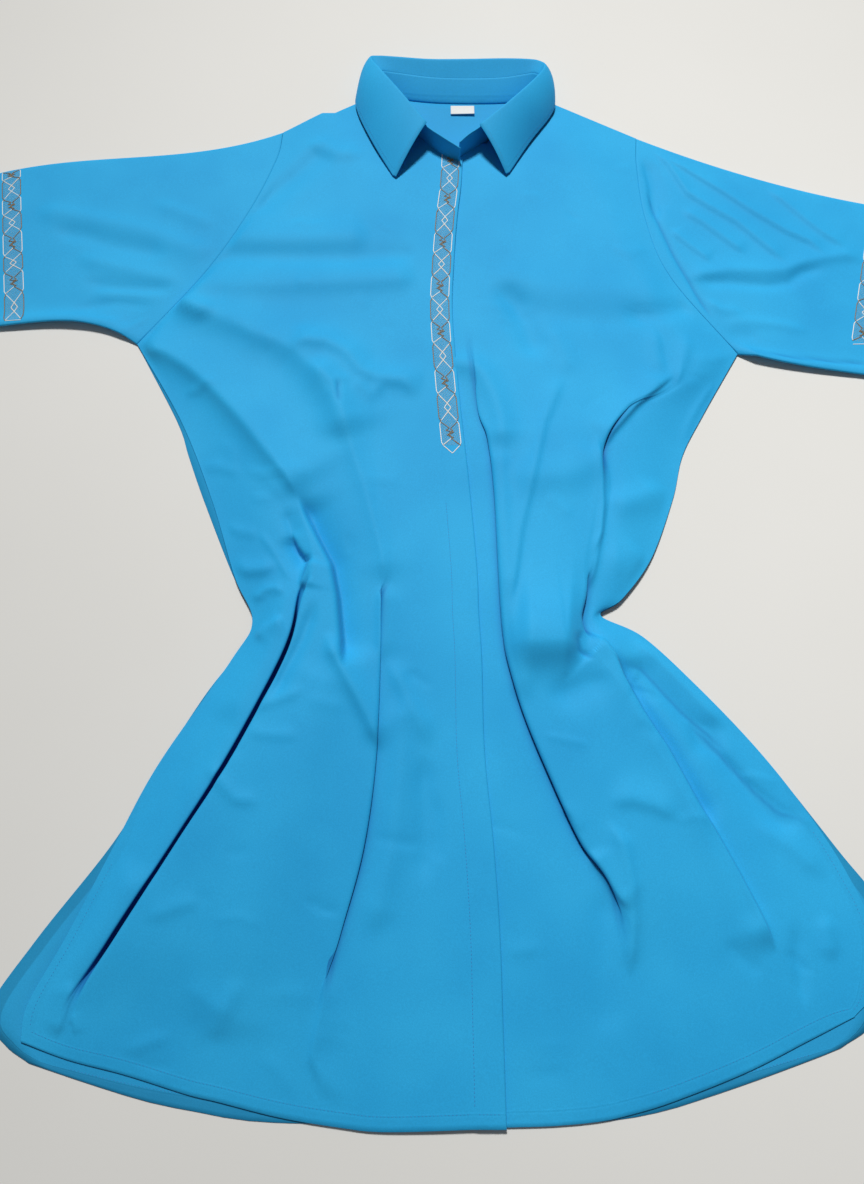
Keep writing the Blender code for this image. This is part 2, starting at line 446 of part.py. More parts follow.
def leaf(stand_grid):
    """Grid of the collar leaf: up from the stand's top, over the roll and down to its free edge."""
    rows = [i for i, row in enumerate(NECK) if row.roll]
    table = NECK[rows[0]:rows[-1] + 1]
    at = neck_line(table)
    stand_top = stand_grid[2 * rows[0]:2 * rows[-1] + 1, -1]
    rising = stand_top - stand_grid[2 * rows[0]:2 * rows[-1] + 1, -2]
    rising /= np.linalg.norm(rising, axis=1)[:, None]
    roll = smooth([row.roll for row in table], at)
    pull = smooth([row.pull for row in table], at)
    edge = smooth([row.edge for row in table], at)
    foot = stand_top + rising * SEAM_GAP
    upright = foot + rising * LEAF_WALL
    towards = pull - roll
    towards /= np.linalg.norm(towards, axis=1)[:, None]
    climb = roll - upright
    climb /= np.linalg.norm(climb, axis=1)[:, None]
    inside = roll - climb * ROLL_RADIUS
    shoulder = roll + towards * ROLL_RADIUS
    over = (inside + shoulder) / 2 + (roll - (inside + shoulder) / 2) * 0.75
    grid = [foot, upright, (upright + inside) / 2, inside, over, shoulder]
    for f in (0.2, 0.45, 0.7, 1):
        grid.append((1 - f)**2 * shoulder + 2 * f * (1 - f) * pull + f**2 * edge)
    return np.stack(grid, axis=1)


def label():
    """Grid of the blank size label, hanging from the back neck seam."""
    u = np.linspace(0, 1, 5)[None]
    v = np.linspace(0, 1, 4)[:, None]
    x = LABEL_CORNER[0] + LABEL_SIZE[0] * u + 0 * v
    y = LABEL_CORNER[1] - LABEL_SIZE[1] * v + 0 * u
    z = LABEL_Z[0] + (LABEL_Z[1] - LABEL_Z[0]) * v**2 * (0.6 + 0.4 * u)
    return np.dstack([x, y, z])


def wall(name, grid, thickness, material, loop=False):
    """Closed cloth wall about a grid of its middle. With loop the columns close into a tube."""
    if loop:
        wide = np.concatenate([grid[:, -1:], grid, grid[:, :1]], axis=1)
        across = (wide[:, 2:] - wide[:, :-2]) / 2
    else:
        across = np.gradient(grid, axis=1)
    normal = np.cross(np.gradient(grid, axis=0), across)
    normal /= np.linalg.norm(normal, axis=2)[..., None]
    rows, columns = grid.shape[:2]
    points = np.concatenate([(grid + normal * thickness / 2).reshape(-1, 3),
                             (grid - normal * thickness / 2).reshape(-1, 3)])
    points = (points - np.array([CENTRE_X, CENTRE_Y, 0])) * MM
    back_side = rows * columns

    def at(i, j, side):
        return side * back_side + i * columns + j % columns

    faces = []
    for i in range(rows - 1):
        for j in range(columns if loop else columns - 1):
            faces.append((at(i, j, 0), at(i + 1, j, 0), at(i + 1, j + 1, 0), at(i, j + 1, 0)))
            faces.append((at(i, j, 1), at(i, j + 1, 1), at(i + 1, j + 1, 1), at(i + 1, j, 1)))
    for j in range(columns if loop else columns - 1):
        faces.append((at(0, j, 1), at(0, j, 0), at(0, j + 1, 0), at(0, j + 1, 1)))
        faces.append((at(rows - 1, j, 0), at(rows - 1, j, 1), at(rows - 1, j + 1, 1), at(rows - 1, j + 1, 0)))
    if not loop:
        for i in range(rows - 1):
            faces.append((at(i, 0, 0), at(i, 0, 1), at(i + 1, 0, 1), at(i + 1, 0, 0)))
            faces.append((at(i, columns - 1, 1), at(i, columns - 1, 0),
                          at(i + 1, columns - 1, 0), at(i + 1, columns - 1, 1)))
    mesh = bpy.data.meshes.new(name)
    mesh.from_pydata(points.tolist(), [], faces)
    volume = sum(triangle.area * triangle.normal.dot(mesh.vertices[triangle.vertices[0]].co)
                 for triangle in loop_triangles(mesh)) / 3
    if volume < 0:
        mesh.flip_normals()
    mesh.materials.append(material)
    mesh.shade_smooth()
    mesh.set_sharp_from_angle(angle=1.0)
    piece = bpy.data.objects.new(name, mesh)
    bpy.context.collection.objects.link(piece)
    return piece


def loop_triangles(mesh):
    """The mesh's triangles, worked out afresh."""
    mesh.calc_loop_triangles()
    return mesh.loop_triangles


def finish(name, color, roughness):
    """Plain cloth material."""
    material = bpy.data.materials.new(name)
    material.use_nodes = True
    shader = material.node_tree.nodes["Principled BSDF"]
    shader.inputs["Base Color"].default_value = (*color, 1)
    shader.inputs["Roughness"].default_value = roughness
    shader.inputs["Metallic"].default_value = 0
    return material


def build():
    """Make every piece of the garment."""
    for item in list(bpy.data.objects):
        bpy.data.objects.remove(item)
    crepe = finish("blue_crepe", (0.040, 0.396, 0.745), 0.62)
    tape = finish("white_label_tape", (0.82, 0.81, 0.79), 0.7)

    right = front(RIGHT_FRONT, FLANK_FOLD, INNER_FOLD, RIGHT_RIDGES, ((10, 1.5), (13, 1.5), (7, 0)))
    left = front(LEFT_FRONT, TUCK_FOLD, LONG_FOLD, LEFT_RIDGES, ((10, 1.5), (13, 1.5), (5, 0)))
    band = placket(right[:, -1])
    wall("right_front", right, CLOTH, crepe)
    wall("left_front", left, CLOTH, crepe)
    wall("placket", band, PLACKET_WALL, crepe)
    wall("back", back(), CLOTH, crepe)

    armhole_rows = slice(0, sum(row.steps for row in RIGHT_FRONT[:4]) + 1)
    wall("right_sleeve", sleeve(right[armhole_rows, 0], RIGHT_SLEEVE, RIGHT_SLEEVE_RIDGES), CLOTH, crepe, loop=True)
    wall("left_sleeve", sleeve(left[armhole_rows, -1], LEFT_SLEEVE, LEFT_SLEEVE_RIDGES), CLOTH, crepe, loop=True)

    neck = stand([(right, CLOTH), (left, CLOTH), (band, PLACKET_WALL)])
    wall("collar_stand", neck, STAND_WALL, crepe)
    wall("collar_leaf", leaf(neck), LEAF_WALL, crepe)
    wall("size_label", label(), LABEL_WALL, tape)


build()
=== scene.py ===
import math

import bpy
import numpy as np
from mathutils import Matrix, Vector


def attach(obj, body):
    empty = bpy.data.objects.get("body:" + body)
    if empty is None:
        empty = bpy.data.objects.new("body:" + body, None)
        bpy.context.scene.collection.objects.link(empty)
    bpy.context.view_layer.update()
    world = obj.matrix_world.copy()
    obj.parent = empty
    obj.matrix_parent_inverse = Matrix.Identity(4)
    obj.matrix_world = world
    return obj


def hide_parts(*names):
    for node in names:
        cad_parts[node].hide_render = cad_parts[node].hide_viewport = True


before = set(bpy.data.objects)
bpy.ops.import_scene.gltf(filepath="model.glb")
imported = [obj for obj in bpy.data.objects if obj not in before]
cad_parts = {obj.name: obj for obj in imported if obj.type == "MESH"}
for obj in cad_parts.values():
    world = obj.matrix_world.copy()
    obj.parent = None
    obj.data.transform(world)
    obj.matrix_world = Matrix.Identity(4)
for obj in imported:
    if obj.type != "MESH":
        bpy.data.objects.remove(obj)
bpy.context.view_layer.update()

# Tables are in millimetres in plan, x across and y towards the collar, z above the surface.
layout = {"centre": (8.5, 20.4, 0.0), "cloth": 0.8, "frontFloor": 1.8, "backMiddle": 0.5, "hem": 10.5}
mm = 0.001


def unit(v):
    return v / (np.linalg.norm(v, axis=-1)[..., None] + 1e-9)


# Distance walked along an axis of a grid or path, from its start.
def walk(grid, axis=0):
    return np.cumsum(np.insert(np.linalg.norm(np.diff(grid, axis=axis), axis=-1), 0, 0, axis), axis)


# Cubic through evenly numbered rows, with slopes from the neighbours; a corner row splits it in two.
def smoothRows(values, at, corner=None):
    values = np.asarray(values, float)
    if corner is not None:
        above = smoothRows(values[:corner + 1], np.minimum(at, corner))
        below = smoothRows(values[corner:], np.maximum(at - corner, 0))
        return np.where((at <= corner)[:, None], above, below)
    index = np.clip(np.floor(at).astype(int), 0, len(values) - 2)
    f = (at - index)[:, None]
    slope = np.gradient(values, axis=0)
    start, end = values[index], values[index + 1]
    return ((2 * f**3 - 3 * f**2 + 1) * start + (f**3 - 2 * f**2 + f) * slope[index]
            + (3 * f**2 - 2 * f**3) * end + (f**3 - f**2) * slope[index + 1])


# Mesh rows between the table's rows: steps times per for each stretch.
def rowNumbers(steps, per):
    parts = [i + np.arange(step * per) / (step * per) for i, step in enumerate(steps[:-1])]
    return np.append(np.concatenate(parts), len(steps) - 1)


# Quadratic B-spline across the columns: each stretch is the moving average of three neighbours.
def softColumns(columns, per):
    control = np.stack([columns[0]] + columns + [columns[-1]], axis=1)
    f = (np.arange(per) / per)[None, None, :, None]
    a, b, c = control[:, :-2, None], control[:, 1:-1, None], control[:, 2:, None]
    fine = 0.5 * (1 - f)**2 * a + (0.5 + f - f**2) * b + 0.5 * f**2 * c
    return np.concatenate([fine.reshape(len(control), -1, control.shape[-1]), columns[-1][:, None]], axis=1)


# Height of the soft folds at x, y: for each path a bell exp(-(d / width)^p), with its own width to
# the left and right of the path; p goes from 2, round, to 1, a sharp crest. It fades at both ends,
# over a third of its length, or a seventh for a sharp one, and 26 mm at most. A sharp valley also
# gives a line of painted shade along it, where contact shadow falls. A fold is name, height, two half
# widths, sharpness, x and y in turn.
def relief(x, y, folds):
    total, paintedShade = np.zeros(x.shape), np.zeros(x.shape)
    for name, height, left, right, sharp, *path in folds:
        path = np.reshape(path, (-1, 2)).astype(float)
        step = np.diff(path, axis=0)
        length = np.hypot(step[:, 0], step[:, 1])
        walked = np.append(0, np.cumsum(length))
        nearest, along, turn = np.full(x.shape, np.inf), np.zeros(x.shape), np.zeros(x.shape)
        for i in range(len(step)):
            dx, dy = x - path[i, 0], y - path[i, 1]
            share = np.clip((dx * step[i, 0] + dy * step[i, 1]) / length[i]**2, 0, 1)
            gap = np.hypot(dx - share * step[i, 0], dy - share * step[i, 1])
            closer = gap < nearest
            nearest = np.where(closer, gap, nearest)
            along = np.where(closer, (walked[i] + share * length[i]) / walked[-1], along)
            turn = np.where(closer, (step[i, 0] * dy - step[i, 1] * dx) / length[i], turn)
        side = 0.5 + 0.5 * np.tanh(turn / 1.5)
        end = np.clip(np.minimum(along, 1 - along) / min(0.34 - 0.2 * sharp, 26 / walked[-1]), 0, 1)
        end = end * end * (3 - 2 * end)
        width = (left * side + right * (1 - side)) * (0.6 + 0.4 * end)
        bell = np.exp(-((nearest**2 + (1.2 * sharp)**2)**0.5 / width)**(2 - sharp))
        total += height * bell * end
        # painted shade: a dark line along each sharp valley, where contact shadow falls
        if height < 0 and sharp > 0.3:
            paintedShade += 0.32 * end * np.exp(-(nearest / 1.8)**2)
    return total, np.clip(paintedShade, 0, 1)


# Unit normals of a grid, from the cross product of its two directions.
def gridNormals(grid, loop=False):
    if loop:
        wide = np.concatenate([grid[:, -1:], grid, grid[:, :1]], axis=1)
        across = (wide[:, 2:] - wide[:, :-2]) / 2
    else:
        across = np.gradient(grid, axis=1)
    return unit(np.cross(np.gradient(grid, axis=0), across))


# Points and normals at fractional rows and columns of a grid, by bilinear shares.
def onGrid(grid, row, column, lift=0.0, up=1.0):
    normal = gridNormals(grid) * up
    row, column = np.clip(row, 0, grid.shape[0] - 1.001), np.clip(column, 0, grid.shape[1] - 1.001)
    i, j = np.floor(row).astype(int), np.floor(column).astype(int)
    f, g = (row - i)[:, None], (column - j)[:, None]

    def blend(a):
        return (a[i, j] * (1 - f) * (1 - g) + a[i + 1, j] * f * (1 - g)
                + a[i, j + 1] * (1 - f) * g + a[i + 1, j + 1] * f * g)

    n = unit(blend(normal))
    return blend(grid) + n * lift, n


# Fractional row at a distance from the last (or first) row, for each column given.
def rowAtDistance(grid, columns, distance, fromEnd=True):
    source = grid[::-1] if fromEnd else grid
    rows = []
    for c in columns:
        j = int(min(c, grid.shape[1] - 2))
        walked = walk(source[:, j] * (1 - (c - j)) + source[:, j + 1] * (c - j))
        rows.append(np.interp(distance, walked, np.arange(len(walked))))
    rows = np.array(rows)
    return grid.shape[0] - 1 - rows if fromEnd else rows


def makeObject(name, points, faces, material, uv, values=None):
    mesh = bpy.data.meshes.new(name)
    mesh.from_pydata(((points - np.array(layout["centre"])) * mm).tolist(), [], faces)
    for key, value in (values or {}).items():
        mesh.attributes.new(key, "FLOAT", "POINT").data.foreach_set("value", np.asarray(value, np.float32))
    corner = np.zeros(len(mesh.loops), np.int32)
    mesh.loops.foreach_get("vertex_index", corner)
    mesh.uv_layers.new(name="cut").data.foreach_set("uv", np.asarray(uv, np.float32)[corner].ravel())
    mesh.materials.append(material)
    mesh.shade_smooth()
    mesh.validate()
    item = bpy.data.objects.new(name, mesh)
    bpy.context.collection.objects.link(item)
    # turn every face outward: the closed mesh's signed volume has to be positive
    a, b, c, d = (points[[face[k] for face in faces]] for k in (0, 1, 2, -1))
    if (a * np.cross(c, d - b)).sum() < 0:
        mesh.flip_normals()
    return item


# Four-sided faces between neighbouring rows and columns of a table of vertex numbers.
def quads(index, loop, flip):
    if loop:
        index = np.concatenate([index, index[:, :1]], axis=1)
    a, b, c, d = index[:-1, :-1], index[1:, :-1], index[1:, 1:], index[:-1, 1:]
    return np.stack((a, d, c, b) if flip else (a, b, c, d), axis=2).reshape(-1, 4).tolist()


# Closed cloth: a grid's two faces, offset along the normals, meet in a rounded edge ring, which is
# the border pushed out a little. With loop the columns close into a tube.
def shell(name, grid, thickness, material, loop=False, values=None):
    thickness = np.broadcast_to(np.asarray(thickness, float), grid.shape[:2])
    wide, edge = grid, 0.35 * float(thickness.mean())
    for axis in (0,) if loop else (0, 1):
        first, second, last, before = (np.take(wide, [k], axis) for k in (0, 1, -1, -2))
        wide = np.concatenate([first + edge * unit(first - second), wide, last + edge * unit(last - before)], axis)
    pads = ((1, 1), (0, 0) if loop else (1, 1))
    offset = np.pad(gridNormals(grid, loop) * thickness[..., None] / 2, (*pads, (0, 0)))
    ring = np.pad(np.zeros(grid.shape[:2], bool), pads, constant_values=True)
    number = np.arange(ring.size).reshape(ring.shape)
    under = number.copy()
    under[~ring] = ring.size + np.arange((~ring).sum())
    points = np.concatenate([(wide + offset).reshape(-1, 3), (wide - offset)[~ring]])
    cut = np.dstack([walk(wide, 1), walk(wide, 0)]) * mm
    fields = {}
    for key, value in (values or {}).items():
        padded = np.pad(value, pads, mode="edge")
        fields[key] = np.concatenate([padded.ravel(), padded[~ring]])
    return makeObject(name, points, quads(number, loop, False) + quads(under, loop, True), material,
                      np.concatenate([cut.reshape(-1, 2), cut[~ring]]), fields)


# Thread: rings of an oval, width by height, carried along each path. The end rings shrink to 0.45,
# and a point 0.4 of the height further on closes them.
def threads(name, runs, material, sides=6):
    points, faces, uv = [], [], []
    base = 0
    angle = np.arange(sides) / sides * 2 * np.pi
    for path, normal, width, height in runs:
        tangent = unit(np.gradient(path, axis=0))
        side = unit(np.cross(tangent, normal))
        rise = np.cross(side, tangent)
        count = len(path)
        size = np.ones((count, 1, 1))
        size[0], size[-1] = 0.45, 0.45
        ring = (path[:, None] + side[:, None] * (np.cos(angle) * width / 2)[None, :, None] * size
                + rise[:, None] * (np.sin(angle) * height / 2)[None, :, None] * size)
        points += [ring.reshape(-1, 3), [path[0] - tangent[0] * height * 0.4, path[-1] + tangent[-1] * height * 0.4]]
        walked = walk(path) * mm
        spot = np.dstack([np.repeat(walked[:, None], sides, axis=1),
                          np.repeat((angle / (2 * np.pi))[None] * 0.003, count, axis=0)])
        uv += [spot.reshape(-1, 2), [[walked[0], 0], [walked[-1], 0]]]
        index = base + np.arange(count * sides).reshape(count, sides)
        faces += quads(index, True, True)
        base += count * sides + 2
        index = np.concatenate([index, index[:, :1]], axis=1)
        faces += [[base - 2, index[0, k + 1], index[0, k]] for k in range(sides)]
        faces += [[base - 1, index[-1, k], index[-1, k + 1]] for k in range(sides)]
    return makeObject(name, np.concatenate(points), faces, material, np.concatenate(uv))


# Values of a path at distances along it.
def follow(at, walked, path):
    return np.stack([np.interp(at, walked, path[:, k]) for k in range(path.shape[1])], axis=1)


def linear(code):
    values = np.array([int(code[i:i + 2], 16) for i in (1, 3, 5)]) / 255
    values = np.where(values <= 0.04045, values / 12.92, ((values + 0.055) / 1.055)**2.4)
    return (*values.tolist(), 1.0)


# A shader node with its inputs set or linked; gives back one of its outputs.
def addNode(tree, kind, inputs=None, give=0, **settings):
    node = tree.nodes.new("ShaderNode" + kind)
    for key, value in settings.items():
        setattr(node, key, value)
    for key, value in (inputs or {}).items():
        if isinstance(value, bpy.types.NodeSocket):
            tree.links.new(value, node.inputs[key])
        else:
            node.inputs[key].default_value = value
    return node.outputs[give]


def calc(tree, operation, a, b=0.5):
    return addNode(tree, "Math", {0: a, 1: b}, operation=operation)


def noise(tree, place, scale, detail, roughness=0.5):
    inputs = {"Vector": place, "Scale": scale, "Detail": detail, "Roughness": roughness}
    return addNode(tree, "TexNoise", inputs, "Fac")


def remap(tree, value, low, high, start, end, kind="LINEAR"):
    inputs = {"Value": value, "From Min": low, "From Max": high, "To Min": start, "To Max": end}
    return addNode(tree, "MapRange", inputs, interpolation_type=kind)


def bump(tree, height, strength, distance, **under):
    return addNode(tree, "Bump", {"Height": height, "Strength": strength, "Distance": distance, **under})


# Colours at places from 0 to 1, first and last given first.
def ramp(tree, factor, stops):
    color = addNode(tree, "ValToRGB", {"Fac": factor})
    elements = color.node.color_ramp.elements
    for k, (place, code) in enumerate(stops):
        if k > 1:
            elements.new(place)
        spot = elements[k] if k < 2 else elements[1]
        spot.position, spot.color = place, linear(code)
    return color


def newMaterial(name, roughness, specular, sheen, sheenTint="#FFFFFF"):
    material = bpy.data.materials.new(name)
    material.use_nodes = True
    shader = material.node_tree.nodes["Principled BSDF"]
    for key, value in {"Roughness": roughness, "Specular IOR Level": specular, "Sheen Weight": sheen,
                       "Sheen Roughness": 0.45, "Sheen Tint": linear(sheenTint)}.items():
        shader.inputs[key].default_value = value
    return material, material.node_tree


def finish(material, color, normal=None):
    shader = material.node_tree.nodes["Principled BSDF"]
    material.node_tree.links.new(color, shader.inputs["Base Color"])
    if normal:
        material.node_tree.links.new(normal, shader.inputs["Normal"])
    return material


# Polyester crepe: a fine twill of 0.55 mm pitch over a pebbled grain, with slightly uneven dye.
# hemGap holds the distance to the edge in mm, so that the hem's stitched valley, the pressed step of
# its folded layer and its darker band follow the edge: the folded layer's deeper tone, on the back's
# strip partly painted shade. paintedShade is 1 inside a fold's crevice and along sharp valleys, where
# the colour is painted navy as painted shade.
def crepe(name, color, deep, light, edgeToneAndShade):
    material, tree = newMaterial(name, 0.66, 0.18, 0.06, "#BFE3FF")
    hem, place = layout["hem"], addNode(tree, "TexCoord", give="Object")
    gap, paintedShade = (addNode(tree, "Attribute", give="Fac", attribute_name=key) for key in ("hemGap", "paintedShade"))
    cloud, grain, pucker = (noise(tree, place, *kind) for kind in ((7.0, 3.0, 0.55), (900.0, 2.0, 0.6), (130.0, 1.0)))
    turned = addNode(tree, "Mapping", {"Vector": place, "Rotation": (0, 0, math.radians(58))})
    twill = addNode(tree, "TexWave", {"Vector": turned, "Scale": 290.0, "Distortion": 1.2, "Detail": 1.0,
                                      "Detail Scale": 3.0}, "Fac")
    speck = remap(tree, grain, 0.35, 0.7, 0.93, 1.05)
    # the band along the edge is darker: the folded hem's own tone, and on the back's strip partly painted shade
    edge = remap(tree, gap, hem + 0.2, hem + 1.4, edgeToneAndShade, 1.0)
    # the mix node's sockets repeat their names, so the colour ones go by place
    tint = addNode(tree, "Mix", {0: 1.0, 6: ramp(tree, cloud, [(0.34, deep), (0.66, light), (0.5, color)]),
                                 7: calc(tree, "MULTIPLY", speck, edge)}, 2, data_type="RGBA", blend_type="MULTIPLY")
    # painted shade: the colour goes to navy inside crevices and along sharp valleys
    shadedTint = addNode(tree, "Mix", {0: paintedShade, 6: tint, 7: linear("#0A4F9A")}, 2, data_type="RGBA")
    fine = bump(tree, calc(tree, "ADD", calc(tree, "MULTIPLY", twill, 0.35), grain), 0.16, 0.00022)
    step = remap(tree, gap, hem + 0.2, hem + 1.8, 1.0, 0.0, "SMOOTHSTEP")
    off = calc(tree, "SUBTRACT", gap, hem - 0.6)
    valley = calc(tree, "EXPONENT", calc(tree, "MULTIPLY", calc(tree, "MULTIPLY", off, off), -1.1))
    high = calc(tree, "ADD", calc(tree, "MULTIPLY", step, pucker), calc(tree, "MULTIPLY", valley, -0.45))
    return finish(material, shadedTint, bump(tree, high, 0.35, 0.0005, Normal=fine))


# Embroidery and sewing thread: two plies twisted, as slanted bands 0.9 mm apart along the thread;
# the colour darkens between the plies as painted shade.
def threadMaterial(name, color, grooveShade, roughness, sheen):
    material, tree = newMaterial(name, roughness, 0.4, sheen)
    along = addNode(tree, "UVMap", uv_map="cut")
    turned = addNode(tree, "Mapping", {"Vector": along, "Rotation": (0, 0, math.radians(35))})
    ply = addNode(tree, "TexWave", {"Vector": turned, "Scale": 180.0, "Distortion": 0.6}, "Fac")
    # painted shade between the plies
    return finish(material, ramp(tree, ply, [(0, grooveShade), (1, color)]), bump(tree, ply, 0.5, 0.0002))


# Label tape: white woven polyester, warp and weft 0.5 mm apart; it is darker where they dip, painted
# shade in the weave's gaps.
def tapeMaterial(name):
    material, tree = newMaterial(name, 0.62, 0.3, 0.15)
    place = addNode(tree, "TexCoord", give="Object")
    warp, weft = (addNode(tree, "TexWave", {"Vector": place, "Scale": 320.0}, "Fac", bands_direction=k) for k in "XY")
    both = calc(tree, "MULTIPLY", warp, weft)
    return finish(material, ramp(tree, both, [(0, "#DAD9D4"), (1, "#F4F3EF")]), bump(tree, both, 0.4, 0.0002))


# Painted board: pale warm grey with a barely uneven tone.
def boardMaterial(name):
    material, tree = newMaterial(name, 0.75, 0.2, 0.0)
    cloud = noise(tree, addNode(tree, "TexCoord", give="Object"), 2.2, 4.0)
    return finish(material, ramp(tree, cloud, [(0, "#DEDCD6"), (1, "#E6E4DF")]))


cloth = crepe("polyester crepe", "#29A8E0", "#25A2DB", "#2DADE4", 0.97)
# the back's edge band is darkened to 0.78, partly its folded layer's tone and partly painted shade
wrongSide = crepe("polyester crepe wrong side", "#289DD2", "#2598CD", "#2BA2D7", 0.78)
# the second colour of each thread is its painted shade between the plies
whiteThread = threadMaterial("rayon thread white", "#FAF9F2", "#DDDAD0", 0.42, 0.3)
taupeThread = threadMaterial("rayon thread taupe", "#9A8868", "#5A4D38", 0.45, 0.15)
silverThread = threadMaterial("metallised thread silver", "#B2BFC0", "#6A7E88", 0.38, 0.05)
sewingThread = threadMaterial("polyester sewing thread", "#2F93CF", "#2079B4", 0.5, 0.15)
tape = tapeMaterial("woven label tape")
print("materials ready")


# Eleven columns across one fold, left to right. fold holds x, y, left height, right height, depth
# from 0 to 1 and opening in mm; with no depth the columns lie side by side. The fourth value is
# painted shade, darkest down in the crevice. A "gap" has two walls that undercut and a bottom. In a
# pleat the layer on the top side overhangs: the lower one runs on below it, turns back, and comes up
# as the upper's rounded edge.
def crevice(fold, top):
    x, y, left, right, depth, opening = fold.T
    depth = np.clip(depth, 0, 1)
    ease = depth * depth * (3 - 2 * depth)
    opening = np.clip(opening, 0.3, 12)
    if top == "gap":
        half, floor = (opening + 1) / 2, 2.0
        tall = np.clip((left - 4) / 10, 0.1, 1), np.clip((right - 4) / 10, 0.1, 1)
        across = [-half - 3 - 3 * tall[0], -half - 1.1, -half, -half - 0.5 - tall[0], -half - 4 * tall[0],
                  -1.5 + 0 * half, half + 2 * tall[1], half + 2.6 * tall[1], half, half + 1.1, half + 3 + 3 * tall[1]]
        deep = [left, left - 0.3, left - 1.6, left - 2.6 - 0.1 * left, floor + 0.3 * (left - floor), floor + 0 * half,
                floor + 0.9, floor + 0.45 * (right - floor), right - 1.6, right - 0.3, right]
        # dark: painted shade in each column, on the crevice's walls and bottom
        dark = [0, 0, 0.5, 1, 1, 1, 1, 1, 0.5, 0, 0]
    else:
        low, high = (left, right) if top == "right" else (right, left)
        half, rise = opening / 2, high - low
        dip = np.minimum(0.9 * np.maximum(opening - 0.8, 0), low - 3)
        across = [-half - 5, -half - 0.5, half + 1, half + 5, half + 7.5, half + 5, half + 0.8, half - 0.3,
                  half + 0.5, half + 2.2, half + 6]
        deep = [low, low - 0.1 * dip, low - dip, low - dip - 0.5, low - dip + 0.8, low - dip + 1.9,
                low + 1.2 + 0.08 * rise, low + 0.55 * rise, high - 0.22 * rise, high - 0.04 * rise, high]
        # dark: painted shade in each column, along the crevice under the overhang
        dark = [0, 0.3, 1, 1, 1, 1, 0.8, 0.1, 0, 0, 0]
        if top == "left":
            across, deep, dark = [-v for v in across[::-1]], deep[::-1], dark[::-1]
    columns = []
    for i in range(11):
        spread, level = (i - 5) * 1.5, left + (right - left) * i / 10
        columns.append(np.stack([x + spread + (across[i] - spread) * ease**1.6, y, level + (deep[i] - level) * ease,
                                 dark[i] * ease * np.clip(opening / 1.5, 0.2, 1)], axis=1))
    return columns


# Columns between two columns: plan in a straight line, height eased as f*f*(3-2f), with a low crown.
def span(start, end, segments, crown):
    columns = []
    for i in range(1, segments):
        f = i / segments
        column = start + (end - start) * f
        column[:, 2] = start[:, 2] + (end[:, 2] - start[:, 2]) * f * f * (3 - 2 * f) + crown * np.sin(np.pi * f)
        columns.append(column)
    return columns


# The bottom edge moves in y onto the hem's curve; rows up to 1.5 table rows above it give way.
def followHem(grid, at, curve):
    line = smoothRows(curve, np.linspace(0, len(curve) - 1, 8 * len(curve)))
    order = np.argsort(line[:, 0])
    gap = np.interp(grid[-1, :, 0], line[order, 0], line[order, 1]) - grid[-1, :, 1]
    share = np.clip(1 - (at[-1] - at) / 1.5, 0, 1)
    grid[..., 1] += gap[None] * (share * share * (3 - 2 * share))[:, None]


# Distance in mm along the cloth from the bottom row, and below the slit also from the side column.
def edgeDistance(grid, sideColumn, slitRow):
    side = walk(grid, 1) if sideColumn == 0 else walk(grid[:, ::-1], 1)[:, ::-1]
    side = side + np.clip(slitRow - np.arange(grid.shape[0]), 0, 40)[:, None]
    return np.minimum(walk(grid[::-1])[::-1], side)


